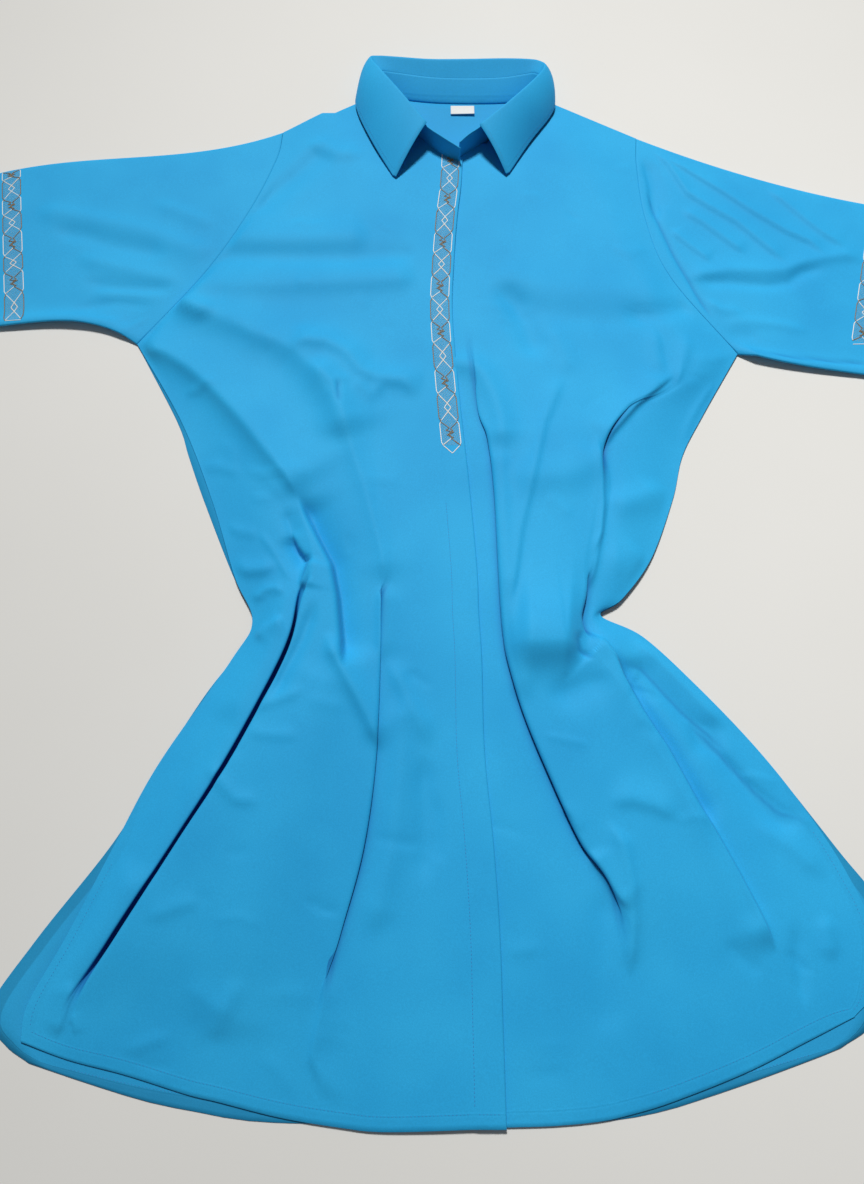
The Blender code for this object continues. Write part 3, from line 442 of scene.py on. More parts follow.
# Both fronts, row by row from shoulder to hem: steps to the next row, side edge, outer fold, inner
# fold, middle edge. A fold is x, y, heights to its left and right, depth.
rightFront = {
    "per": 9, "corner": 4, "outer": "gap", "inner": "left", "spans": ((9, 1.5), (12, 1.5), (6, 0)),
    "rows": [
        (2, (-176, 477, 2.2), (-125, 505, 3, 3, 0, 2), (-66, 531, 2.6, 2.6, 0, 1), (3, 442, 7.0)),
        (2, (-181, 436, 4.0), (-130, 440, 7, 7, 0, 2), (-66, 445, 7, 7, 0, 1), (1, 398, 8.0)),
        (2, (-206, 364, 5.5), (-138, 372, 8, 8, 0, 2), (-64, 378, 8, 8, 0, 1), (-4, 350, 8.0)),
        (2, (-248, 282, 5.5), (-152, 300, 9, 9, 0, 2), (-62, 305, 9, 9, 0, 1), (-8, 290, 8.5)),
        (3, (-314, 192, 2.2), (-166, 210, 9, 9, 0, 2), (-60, 225, 9, 9, 0, 1), (-10, 225, 9.0)),
        (2, (-260, 101, 1.8), (-162, 112, 9, 9, 0, 2), (-56, 130, 9, 9, 0, 1), (-4, 130, 9.5)),
        (2, (-222, 14, 1.8), (-146, 18, 10, 10, 0, 2), (-52, 25, 10, 10, 0, 1), (5, 25, 10.0)),
        (2, (-193, -68, 4.5), (-124, -56, 11, 16, 0, 1), (-50, -60, 13, 12, 0, 0.5), (11, -60, 10.5)),
        (2, (-173, -112, 5.0), (-129, -94, 14, 19, 0.62, 0.9), (-52, -98, 14, 12, 0.9, 1.3), (12, -105, 10.5)),
        (3, (-190, -149, 3.0), (-140, -147, 16, 20, 1, 3.8), (-52, -150, 15, 12, 0.9, 0.35), (14, -150, 10.5)),
        (2, (-247, -242, 1.8), (-184, -242, 16, 20, 1, 4.6), (-54, -240, 15, 11, 1, 0.7), (15, -235, 10.0)),
        (3, (-278, -310, 1.8), (-224, -311, 14, 18, 1, 3.8), (-63, -318, 14, 10, 1, 1.4), (21, -310, 9.0)),
        (2, (-311, -388, 3.8), (-271, -390, 11, 14, 1, 4.4), (-81, -388, 11, 9, 1, 1.5), (25, -385, 8.0)),
        (2, (-336, -440, 3.6), (-301, -443, 5, 6, 0.3, 0.6), (-98, -450, 7, 7, 0, 0.6), (26, -455, 6.0)),
        (0, (-338, -468, 2.8), (-296, -481, 2.2, 2.2, 0, 1), (-108, -525, 2.4, 2.4, 0, 1), (27, -530, 4.2)),
    ],
    # soft folds: name, height, half width left and right of the path, sharpness, then x and y in turn
    "folds": [
        ("armpit roll", 9, 34, 10, 0.8, -318, 192, -307, 184, -283, 177, -257, 159, -238, 142, -220, 123, -198, 98,
         -173, 66, -148, 34, -132, 9),
        ("gusset valley", -12, 18, 2.2, 0.7, -135, 15, -128, 1, -112, -31, -98, -58, -91, -91, -86, -133, -84, -163),
        ("chest roll", 7.5, 34, 16, 0.4, -282, 244, -253, 228, -216, 214, -191, 199, -166, 189, -145, 176, -123, 150,
         -105, 118, -90, 70),
        ("chest line", 4.5, 16, 12, 0.8, -134, 166, -105, 135, -93, 97, -83, 59, -70, 19, -60, -20, -53, -47, -49,
         -81),
        ("hook", 4.5, 16, 9, 0.3, -155, 180, -135, 188, -114, 187, -93, 175, -77, 153, -58, 145, -34, 143, -17, 123),
        ("second hook", 2, 10, 7, 0.3, -89, 145, -68, 126, -51, 141),
        ("upper breast", 3.8, 30, 13, 0.1, -371, 276, -317, 269, -267, 262, -178, 261, -89, 265, -18, 271),
        ("over yoke", 4, 26, 18, 0.1, -363, 392, -311, 350, -251, 328, -170, 319, -69, 324),
        ("yoke hollow", -3, 14, 14, 0, -339, 333, -286, 311, -213, 300, -90, 296, -18, 302),
        ("under arm", 5, 14, 8, 0.2, -292, 232, -273, 241, -249, 226, -228, 221),
        ("cross crease one", 1.3, 4, 3, 0.5, -194, 42, -171, 36, -148, 39, -122, 41),
        ("cross crease two", 1.1, 4, 3, 0.5, -76, 34, -56, 30, -33, 27),
        ("dash", -2.2, 2, 2, 0.5, -100, 141, -100, 128, -98, 111),
        ("notch", -8, 2, 9, 0.5, -141, -27, -135, -42, -127, -52, -117, -54),
        ("notch shade", -2.5, 10, 6, 0.2, -149, -1, -140, -19, -137, -33),
        ("notch edge", 4, 14, 2.5, 0.5, -119, -52, -123, -68, -128, -84),
        ("over waist", 3.2, 9, 6, 0.3, -202, -55, -185, -63, -166, -63, -150, -58),
        ("waist swirl", 2, 5, 5, 0.4, -170, -99, -170, -90, -161, -83, -152, -82, -142, -90),
        ("rib crease one", 1.5, 5, 3, 0.5, -206, -16, -191, -23, -171, -27),
        ("rib crease two", 1.3, 3, 3, 0.5, -174, -21, -155, -46, -136, -78),
        ("rib crease three", 1.4, 5, 3, 0.5, -238, 44, -219, 48, -192, 39),
        ("rib crease four", 1.6, 6, 4, 0.4, -259, 130, -242, 134, -226, 145),
        ("flap crest", 3, 6, 10, 0.4, -170, -132, -159, -122, -141, -112),
        ("skirt valley one", -3.5, 7, 6, 0.2, -112, -94, -124, -134, -139, -168, -150, -196),
        ("skirt roll one", 6, 16, 7, 0.5, -103, -125, -95, -146, -76, -179, -62, -205, -48, -237),
        ("skirt roll two", 3, 10, 7, 0.3, -47, -148, -31, -179, -16, -207, -7, -234),
        ("above inner fold", 3, 12, 6, 0.4, -49, -74, -50, -114, -50, -155),
        ("shoulder pull", 2.5, 14, 9, 0.2, -150, 460, -110, 440, -80, 440),
        ("armhole hollow", -3, 10, 18, 0, -208, 355, -195, 373, -178, 391, -156, 413, -123, 458),
        ("skirt swell", 3, 30, 30, 0, -92, -150, -122, -242, -150, -360, -180, -470),
        ("flap hollow", -3, 14, 14, 0, -180, -190, -222, -262, -262, -350),
        ("after gap", 2.2, 4, 9, 0.4, -302, -420, -302, -435, -306, -451, -311, -466),
        ("after inner gap", 2, 9, 4, 0.4, -90, -410, -93, -439, -99, -465, -101, -480, -89, -500, -72, -514),
        ("crease one", 1.8, 6, 4, 0.5, -205, -245, -197, -254, -175, -277, -150, -281),
        ("crease two", 1.5, 7, 4, 0.4, -165, -200, -150, -193, -129, -186, -118, -180),
        ("crease three", 1.2, 6, 4, 0.4, -172, -218, -150, -222, -120, -224),
        ("crease four", 1.4, 9, 6, 0.3, -245, -375, -220, -366, -196, -358),
        ("crease five", 1.2, 6, 4, 0.3, -255, -476, -236, -470, -215, -462),
        ("crease six", 1, 9, 6, 0.3, -210, -425, -192, -434, -165, -450),
        ("crease seven", 1.5, 8, 5, 0.3, -184, -470, -173, -445, -158, -418),
        ("beside placket", -2.4, 8, 8, 0, -12, -235, -11, -293, -12, -352),
        ("at placket", -1.5, 6, 6, 0, -4, -265, -1, -300, 2, -335),
        ("beside inner fold", 3, 12, 10, 0.2, -30, -180, -32, -240, -40, -320, -56, -390),
    ],
    "scatter": (11, 46, (-300, 10, -520, 440)),
}
leftFront = {
    "per": 10, "corner": 4, "outer": "left", "inner": "right", "spans": ((9, 1.5), (12, 1.5), (5, 0)),
    "rows": [
        (2, (229, 468, 2.2), (114, 527, 2.6, 2.6, 0, 1), (50, 458, 5.1, 5.1, 0, 1), (7, 428, 5.1)),
        (2, (226, 425, 4.0), (140, 450, 7, 7, 0, 1), (46, 402, 6.2, 6.8, 0, 1), (5, 398, 6.1)),
        (2, (230, 350, 5.5), (165, 378, 8, 8, 0, 1), (41, 350, 6.2, 7, 0, 1), (0, 350, 6.1)),
        (2, (251, 274, 5.5), (195, 290, 9, 9, 0, 1), (35, 290, 6.7, 7.5, 0, 1), (-4, 290, 6.6)),
        (2, (314, 180, 2.2), (246, 158, 9, 9, 0, 1), (34, 222, 7.2, 8, 0, 1), (-6, 225, 7.1)),
        (2, (271, 108, 1.8), (194, 110, 12, 9, 0.5, 0.5), (40, 117, 7.7, 10, 0.85, 0.8), (0, 130, 7.6)),
        (2, (246, 62, 1.8), (168, 70, 14, 9, 0.85, 2.4), (50, 76, 8.0, 13, 1, 0.9), (3, 76, 7.9)),
        (2, (232, 14, 1.8), (162, 14, 13, 9.5, 0, 0.3), (55, 18, 8.2, 14, 1, 1.0), (9, 18, 8.1)),
        (2, (205, -50, 4), (147, -52, 15, 11, 0.1, 0.3), (57, -60, 8.8, 16, 1, 0.9), (15, -60, 8.6)),
        (1, (174, -91, 5.5), (140, -90, 16, 9, 1, 1.8), (58, -95, 8.8, 17, 1, 0.9), (16, -95, 8.6)),
        (1, (153, -107, 5), (135, -116, 16, 8, 1, 2.6), (60, -128, 8.8, 17, 1, 1.0), (17, -130, 8.6)),
        (2, (191, -127, 3), (146, -139, 15, 13, 0, 1), (64, -155, 8.8, 16, 1, 1.2), (18, -160, 8.6)),
        (2, (236, -172, 1.8), (172, -178, 14, 11, 0, 1), (77, -203, 8.4, 15, 1, 1.6), (19, -208, 8.4)),
        (2, (285, -230, 1.8), (201, -236, 13, 10, 0, 1), (97, -256, 7.8, 15, 1, 1.8), (21, -262, 7.8)),
        (2, (322, -284, 1.8), (230, -295, 12, 9, 0, 1), (121, -312, 7.1, 14, 1, 2.2), (25, -312, 7.1)),
        (2, (350, -336, 1.8), (254, -346, 10, 8, 0, 1), (145, -348, 6.4, 12, 0.8, 1.2), (28, -360, 6.4)),
        (2, (366, -385, 1.8), (270, -388, 8, 6.5, 0, 1), (160, -402, 5.5, 7, 0, 1), (29, -410, 5.4)),
        (2, (356, -432, 1.8), (284, -430, 5, 4.4, 0, 1), (167, -456, 4.2, 5, 0, 1), (30, -465, 4.0)),
        (0, (340, -450, 1.8), (298, -468, 2.2, 2.2, 0, 1), (174, -516, 2.2, 2.2, 0, 1), (31, -529, 2.2)),
    ],
    "folds": [
        ("over long fold", 5, 14, 12, 0.4, 3, 168, 34, 162, 47, 151, 58, 125, 64, 97, 65, 58),
        ("long fold ridge", 2.5, 8, 12, 0.3, 63, 73, 63, 29, 64, -24, 65, -85, 70, -143, 83, -194),
        ("ridge top", 1.5, 12, 8, 0.3, 113, 210, 124, 192, 133, 171, 128, 147),
        ("fine crease", 2.6, 2.5, 9, 0.8, 129, 152, 125, 137, 114, 108, 108, 94, 97, 46, 88, 8, 80, -23, 74, -64, 68,
         -99),
        ("breast roll", 2, 24, 18, 0.1, 57, 280, 94, 264, 136, 254, 190, 254, 247, 242),
        ("breast hollow", -1.6, 14, 14, 0, 67, 242, 119, 225, 177, 217, 235, 227),
        ("cross roll", 3.2, 17, 22, 0.1, 167, 66, 148, 46, 126, 35, 91, 33, 67, 41),
        ("tuck crest", 4, 3, 16, 0.5, 246, 152, 233, 143, 200, 113, 175, 84, 163, 63),
        ("tuck ridge", 3, 3, 5, 0.6, 158, 82, 162, 46, 161, 3, 157, -26, 148, -49),
        ("flank roll", 3.6, 14, 15, 0.1, 160, 11, 183, 6, 203, 13, 227, 29),
        ("flank light", 2.2, 16, 18, 0.1, 157, -52, 180, -54, 200, -41),
        ("flank crease", 1.6, 4, 5, 0.4, 157, -23, 151, -54, 142, -84),
        ("arm crease one", 2, 4, 8, 0.4, 230, 206, 228, 175, 232, 150),
        ("arm crease two", 2, 5, 8, 0.4, 265, 201, 255, 170, 244, 135),
        ("side crease", 1.6, 4, 5, 0.4, 289, 148, 262, 107, 246, 67),
        ("swell", 14, 46, 22, 0.1, 62, -136, 90, -137, 117, -136, 138, -139),
        ("crescent", -2, 3, 3, 0.4, 134, -124, 128, -135, 130, -145, 144, -153),
        ("skirt crest", 6, 2.2, 22, 0.6, 134, -125, 152, -135, 162, -150, 168, -169, 185, -203, 205, -236, 223, -275,
         241, -311, 255, -340, 268, -369, 281, -402),
        ("beside crest", -6, 9, 2.5, 0.5, 161, -140, 169, -158, 186, -196, 206, -230, 224, -269, 242, -305),
        ("valley", -5.5, 10, 16, 0.5, 167, -154, 187, -159, 204, -179, 222, -200, 243, -219, 259, -236),
        ("low valley", -5, 5, 16, 0.6, 223, -207, 243, -226, 259, -246, 278, -269, 298, -288, 323, -294),
        ("over valley", 4, 14, 10, 0.1, 179, -127, 209, -151, 234, -179, 262, -215),
        ("side hem roll", 3, 4, 4, 0.5, 308, -289, 327, -294, 334, -305, 343, -320, 362, -348),
        ("mid hook", 2.6, 14, 7, 0.2, 145, -280, 168, -276, 189, -282, 210, -294),
        ("long light", 3.5, 6, 8, 0.4, 144, -292, 158, -315, 163, -348, 163, -375, 158, -421),
        ("low diagonal", 2.2, 12, 9, 0.2, 271, -294, 304, -315, 334, -343),
        ("scye hollow", -3, 10, 10, 0, 190, 226, 225, 222, 248, 229, 280, 241),
        ("middle hollow", -4, 14, 14, 0, 62, 267, 84, 240, 96, 205, 106, 165),
        ("low below swell", -3, 12, 16, 0, 95, -190, 135, -176, 164, -170),
        ("long dark", -2.5, 10, 10, 0, 141, -345, 140, -372, 137, -415, 138, -470),
        ("triangle", -1.8, 12, 9, 0.1, 228, -285, 240, -315, 253, -345, 268, -390),
        ("low side hollow", -2, 6, 6, 0, 301, -372, 299, -406, 300, -446),
        ("low side roll", 2, 7, 7, 0, 326, -368, 326, -389, 326, -410),
        ("end of long fold", 3, 12, 3, 0.6, 128, -318, 140, -338, 152, -356, 163, -368),
    ],
    "scatter": (12, 40, (40, 300, -500, 430)),
}
hemCurve = [(-338, -468), (-299, -481), (-251, -492), (-200, -506), (-176, -511), (-126, -522), (-78, -529),
            (-42, -532), (31, -530), (53, -529), (91, -528), (127, -525), (153, -520), (187, -511), (248, -490),
            (301, -467), (340, -450)]


# Small creases at random places inside left, right, low, high: 15 to 50 mm long, 0.3 to 0.9 mm high.
def smallCreases(seed, count, area):
    chance = np.random.default_rng(seed)
    creases = []
    for i in range(count):
        x, y = chance.uniform(area[0], area[1]), chance.uniform(area[2], area[3])
        angle, bend = chance.normal(-0.5, 0.7), chance.normal(0, 0.25)
        length = chance.uniform(8, 25)
        dx, dy = length * np.cos(angle), length * np.sin(angle)
        creases.append(("small", chance.uniform(0.3, 0.9) * chance.choice([-1, 1]), chance.uniform(2, 8),
                        chance.uniform(2, 8), 0.29, x - dx, y - dy, x - bend * dy, y + bend * dx, x + dx, y + dy))
    return creases


def front(piece):
    stretch, *rows = zip(*piece["rows"])
    at = rowNumbers(stretch, piece["per"])
    side = np.pad(smoothRows(rows[0], at, piece["corner"]), ((0, 0), (0, 1)))
    outer = crevice(smoothRows(rows[1], at), piece["outer"])
    inner = crevice(smoothRows(rows[2], at), piece["inner"])
    middle = np.pad(smoothRows(rows[3], at), ((0, 0), (0, 1)))
    blocks, spans = [[side], outer, inner, [middle]], piece["spans"]
    if side[0, 0] > middle[0, 0]:
        blocks, spans = blocks[::-1], spans[::-1]
    fullness = np.sin(np.pi * at / at[-1])
    columns = list(blocks[0])
    for block, (count, crown) in zip(blocks[1:], spans):
        columns += span(columns[-1], block[0], count, crown * fullness) + block
    grid = softColumns(columns, 3)
    grid, paintedShade = np.ascontiguousarray(grid[..., :3]), grid[..., 3]
    followHem(grid, at, hemCurve)
    soft, shadeLines = relief(grid[..., 0], grid[..., 1], piece["folds"] + smallCreases(*piece["scatter"]))
    walked = walk(grid, 1)
    # the folds fade out over the last 14 mm before either side
    fade = np.clip(np.minimum(walked, walked[:, -1:] - walked) / 14, 0, 1)
    grid[..., 2] += soft * fade * fade * (3 - 2 * fade)
    grid[..., 2] = np.maximum(grid[..., 2], layout["frontFloor"])
    # with the painted shade of crevices and sharp valleys
    return grid, np.clip(paintedShade + shadeLines, 0, 1)


rightGrid, rightPaintedShade = front(rightFront)
leftGrid, leftPaintedShade = front(leftFront)
print("fronts", rightGrid.shape, leftGrid.shape)

# Placket: a band 26.2 mm wide beside the right front's middle edge, 0.35 mm higher; one cloth with it.
# Its neck end slants down with the opening, by 9 mm, and its height is reached over a fifth of it.
placket = {"width": 26.2, "lift": 0.35, "columns": 20, "wall": 1.2, "start": 0.5, "slant": 9}
per = rightFront["per"]
seam = rightGrid[:, -1]
share = np.linspace(0, 1, placket["columns"])
band = np.repeat(seam[:, None], placket["columns"], axis=1)
band[..., 0] += placket["start"] + share * (placket["width"] - 0.2)
drop = np.clip((seam[:, 1] - seam[per, 1]) / (seam[0, 1] - seam[per, 1]), 0, 1)
band[..., 1] -= drop[:, None] * share * placket["slant"]
band[..., 2] += placket["lift"] * np.minimum(1, share * 5)
rightWhole = np.concatenate([rightGrid, band], axis=1)
bandStart = rightGrid.shape[1]
thick = np.full(rightWhole.shape[:2], layout["cloth"])
thick[:, bandStart:] += (placket["wall"] - layout["cloth"]) * np.minimum(1, share * 5)
slit, leftSlit = per * 24, leftFront["per"] * 26  # rows where the side slits begin
# the fronts carry the painted shade of their crevices and valleys
rightPiece = shell("right_front_and_placket", rightWhole, thick, cloth,
                   values={"hemGap": edgeDistance(rightWhole, 0, slit),
                           "paintedShade": np.pad(rightPaintedShade, ((0, 0), (0, placket["columns"])))})
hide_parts("right_front", "placket")
leftPiece = shell("left_front_cloth", leftGrid, layout["cloth"], cloth,
                  values={"hemGap": edgeDistance(leftGrid, -1, leftSlit), "paintedShade": leftPaintedShade})
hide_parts("left_front")
print("placket joined")

# Back panel, flat, straight across between five guides: left edge, left neck point, middle, right
# neck point, right edge.
backPanel = {
    "per": 5, "corner": 4, "slit": 100, "wall": 0.9,
    "steps": [2, 2, 2, 2, 2, 1, 1, 2, 1, 1, 1, 1, 1, 2, 2, 2, 1, 1, 0],
    "rows": [
        ((-176, 477), (-66, 533), (22, 521), (112, 529), (229, 468)),
        ((-181, 436), (-70, 440), (22, 440), (112, 440), (226, 425)),
        ((-206, 364), (-74, 368), (22, 366), (118, 362), (230, 350)),
        ((-248, 282), (-78, 286), (22, 284), (120, 280), (251, 274)),
        ((-314, 192), (-84, 196), (20, 192), (120, 188), (314, 180)),
        ((-264, 101), (-82, 102), (18, 102), (110, 102), (267, 101)),
        ((-249, 62), (-80, 60), (16, 60), (102, 60), (246, 61)),
        ((-230, 14), (-78, 14), (12, 12), (92, 14), (232, 14)),
        ((-195, -66), (-72, -64), (8, -62), (84, -60), (205, -50)),
        ((-177, -96), (-68, -90), (7, -88), (82, -86), (174, -91)),
        ((-173, -118), (-66, -114), (6, -112), (80, -110), (153, -107)),
        ((-190, -149), (-74, -146), (6, -144), (84, -140), (191, -127)),
        ((-213, -183), (-80, -180), (7, -178), (94, -174), (238, -174)),
        ((-247, -244), (-90, -240), (8, -238), (110, -234), (287, -232)),
        ((-280, -310), (-104, -318), (10, -318), (128, -312), (346, -318)),
        ((-337, -391), (-118, -396), (12, -400), (142, -394), (378, -368)),
        ((-369, -446), (-126, -470), (12, -476), (150, -470), (376, -416)),
        ((-352, -470), (-128, -505), (12, -508), (154, -502), (356, -454)),
        ((-330, -484), (-130, -524), (12, -531), (156, -523), (326, -473)),
    ],
    "hem": [(-330, -484), (-282, -498), (-233, -511), (-194, -518), (-145, -525), (-60, -527), (90, -527),
            (141, -524), (178, -518), (212, -509), (256, -496), (309, -479), (326, -473)],
}
backAt = rowNumbers(backPanel["steps"], backPanel["per"])
guides = [smoothRows(points, backAt, backPanel["corner"] if k in (0, 4) else None)
          for k, points in enumerate(zip(*backPanel["rows"]))]
plan = np.concatenate([guides[k][:, None] + (guides[k + 1] - guides[k])[:, None] * (np.arange(10) / 10)[None, :, None]
                       for k in range(4)] + [guides[4][:, None]], axis=1)
followHem(plan, backAt, backPanel["hem"])
backGrid = np.dstack([plan, np.full(plan.shape[:2], layout["backMiddle"])])
hemGap = np.minimum(*(edgeDistance(backGrid, side, backPanel["slit"]) for side in (0, -1)))
backPiece = shell("back_cloth", backGrid, backPanel["wall"], wrongSide, values={"hemGap": hemGap})
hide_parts("back")

# Sleeves: flattened tubes. cuff: its two ends; top and bottom: how far these edges bow; raised: lift
# of the lower edge along it. tube: heights of the upper layer at armhole, mid-sleeve and cuff, at its
# edges, and at the least; mid-height and radius of the folded edges; how far inside them it starts.
tube = {"rings": 121, "upper": (5.5, 5.0, 4.2), "edge": 2.2, "least": 1.9, "middle": 1.2, "radius": 0.85,
        "inset": 1.0}
sleeves = {
    "right_sleeve": {
        "armhole": rightGrid[:8 * rightFront["per"] + 1, 0], "cuff": ((-498, 417), (-466, 212)),
        "top": (-13, 6.5), "bottom": (13, 5), "raised": (0.5, 5, 7, 5, 4),
        "folds": [
            ("first roll", 2.5, 12, 14, 0, -447, 365, -409, 358, -353, 344, -315, 333, -268, 311, -235, 305),
            ("first hollow", -2, 12, 10, 0, -425, 338, -387, 329, -350, 315, -313, 307, -288, 300),
            ("second roll", 2, 9, 10, 0, -394, 302, -346, 287, -291, 272, -268, 264),
            ("second hollow", -2, 8, 8, 0, -385, 270, -343, 261, -308, 259, -276, 262),
            ("third roll", 1.5, 6, 7, 0, -372, 254, -320, 250, -282, 247),
            ("third hollow", -2, 7, 7, 0, -390, 233, -341, 242, -298, 236),
            ("edge crease", 1.5, 4, 5, 0.3, -372, 211, -353, 216, -328, 221),
            ("second edge crease", 1.2, 3, 4, 0.3, -326, 208, -316, 217, -305, 219),
            ("top roll", 1.5, 8, 10, 0, -318, 377, -280, 360, -238, 339),
        ],
    },
    "left_sleeve": {
        "armhole": leftGrid[:8 * leftFront["per"] + 1, -1], "cuff": ((514, 367), (457, 152)),
        "top": (-6.5, -7), "bottom": (-3, -1), "raised": (0.5, 7, 5, 3, 3),
        "folds": [
            ("first crease", 3, 10, 2.2, 0.9, 246, 452, 262, 430, 271, 408, 280, 387, 301, 369, 330, 347, 353, 321,
             369, 303, 380, 291),
            ("second crease", 2.6, 9, 2.2, 0.9, 270, 364, 294, 345, 318, 321, 336, 304),
            ("third crease", 2.2, 9, 2.2, 0.9, 256, 336, 276, 314, 297, 294),
            ("fourth crease", 3, 10, 2.2, 0.9, 258, 440, 290, 414, 320, 389, 349, 362, 382, 336, 407, 321, 424, 301),
            ("fifth crease", 2.6, 12, 2.5, 0.8, 368, 397, 392, 370, 410, 347, 426, 330, 448, 312),
            ("long roll", 2.8, 12, 7, 0.4, 264, 268, 287, 277, 314, 282, 357, 281, 375, 283, 399, 294, 421, 299, 445,
             303, 466, 295),
            ("long hollow", -2, 6, 8, 0, 272, 268, 312, 268, 355, 264, 378, 268, 394, 281, 422, 288),
            ("armpit crease", 1.5, 5, 6, 0.2, 284, 247, 302, 232, 328, 229),
            ("low roll", 1.5, 6, 6, 0, 298, 214, 324, 218, 358, 214, 395, 205),
            ("low hollow", -1.2, 6, 6, 0, 302, 202, 320, 201, 342, 199),
            ("seam hollow", -6, 10, 4, 0.3, 233, 440, 240, 405, 241, 374, 240, 345),
            ("seam line", -1.6, 3, 3, 0.5, 234, 395, 243, 350, 258, 300, 278, 250, 293, 217),
            ("beside seam", 1.5, 7, 7, 0, 234, 438, 242, 415, 246, 374, 257, 350),
            ("edge gap", -3.2, 1.6, 2.2, 0.5, 316, 186, 330, 180, 347, 176, 387, 171, 420, 168, 443, 166, 456, 164),
        ],
    },
}


# Offset in y along a sleeve edge, from the armhole to the cuff: two humps, at a third and two thirds.
def bow(a, near, far):
    return np.hstack([0 * a, 6.75 * (near * a * (1 - a)**2 + far * a**2 * (1 - a))])


# Plan: the straight blends from armhole to cuff and from top to bottom edge are added, less the blend
# of the four corners. Upper layer: from its edges up as (4b(1-b))^0.45, b being 0 to 1 across, and
# near the armhole passing into the front's height, with the share (1-a)^3 at a, 0 to 1 along.
def sleeveGrid(piece):
    armhole = piece["armhole"]
    outward = np.sign(piece["cuff"][0][0])
    count = len(armhole)
    b = np.linspace(0, 1, count)[:, None]
    a = np.linspace(0, 1, tube["rings"])[:, None]
    seam = armhole[:, :2] + np.array([outward * 0.3, 0])
    top, bottom = np.array(piece["cuff"], float)
    cuff = top + (bottom - top) * b
    topEdge = seam[0] + (top - seam[0]) * a + bow(a, *piece["top"])
    bottomEdge = seam[-1] + (bottom - seam[-1]) * a + bow(a, *piece["bottom"])
    plan = ((1 - a)[:, None] * seam[None] + a[:, None] * cuff[None]
            + (1 - b)[None] * topEdge[:, None] + b[None] * bottomEdge[:, None]
            - (1 - a)[:, None] * ((1 - b) * seam[0] + b * seam[-1])[None]
            - a[:, None] * ((1 - b) * top + b * bottom)[None])
    rise = np.clip(4 * b * (1 - b), 0, 1)[None, :, 0]**0.45
    upper = tube["edge"] + (np.interp(a, [0, 0.5, 1], tube["upper"]) - tube["edge"]) * rise
    upper = armhole[None, :, 2] * (1 - a)**3 + upper * (1 - (1 - a)**3)
    soft, shadeLines = relief(plan[..., 0], plan[..., 1], piece["folds"])
    upper = np.maximum(upper + soft * np.sqrt(rise) * np.minimum(1, 16 * a), tube["least"])
    across = plan[:, -1] - plan[:, 0]
    width = np.linalg.norm(across, axis=1)[:, None]
    across /= width
    # the folded edges are half rounds of three columns
    pull = (tube["inset"] / width) * (0.5 - b.T) * 2
    inner = plan + pull[..., None] * across[:, None] * width[..., None]
    # the lower edge is drawn up off the surface, with a bell 12 mm wide that lifts both layers
    raised = np.interp(a, [0, 0.12, 0.45, 0.85, 1], piece["raised"])
    near = np.linalg.norm(plan - plan[:, -1:], axis=2) / 12
    lift = raised * np.exp(-near**2)
    start, end = [], []
    for turn in np.radians((-50, 0, 50)):
        out, z = 1 - np.cos(turn), tube["radius"] * np.sin(turn)
        start.append(np.dstack([plan[:, :1] + out * across[:, None], tube["middle"] + z + 0 * a]))
        end.append(np.dstack([plan[:, -1:] - out * across[:, None], tube["middle"] - z + raised]))
    low = np.dstack([inner, layout["backMiddle"] + lift])[:, ::-1]
    loop = start + [np.dstack([inner, upper + lift])] + end + [low]
    # the sharp valleys' painted shade, on the upper layer only
    return np.concatenate(loop, axis=1), np.pad(shadeLines, ((0, 0), (3, 3 + count)))


sleeveGrids = {}
for name, piece in sleeves.items():
    grid, shadeLines = sleeveGrid(piece)
    made = shell(name + "_cloth", grid, layout["cloth"], cloth, loop=True,
                 values={"hemGap": walk(grid[::-1])[::-1], "paintedShade": shadeLines})
    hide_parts(name)
    sleeveGrids[name] = (grid[:, 3:3 + len(piece["armhole"])], made)
print("sleeves ready")

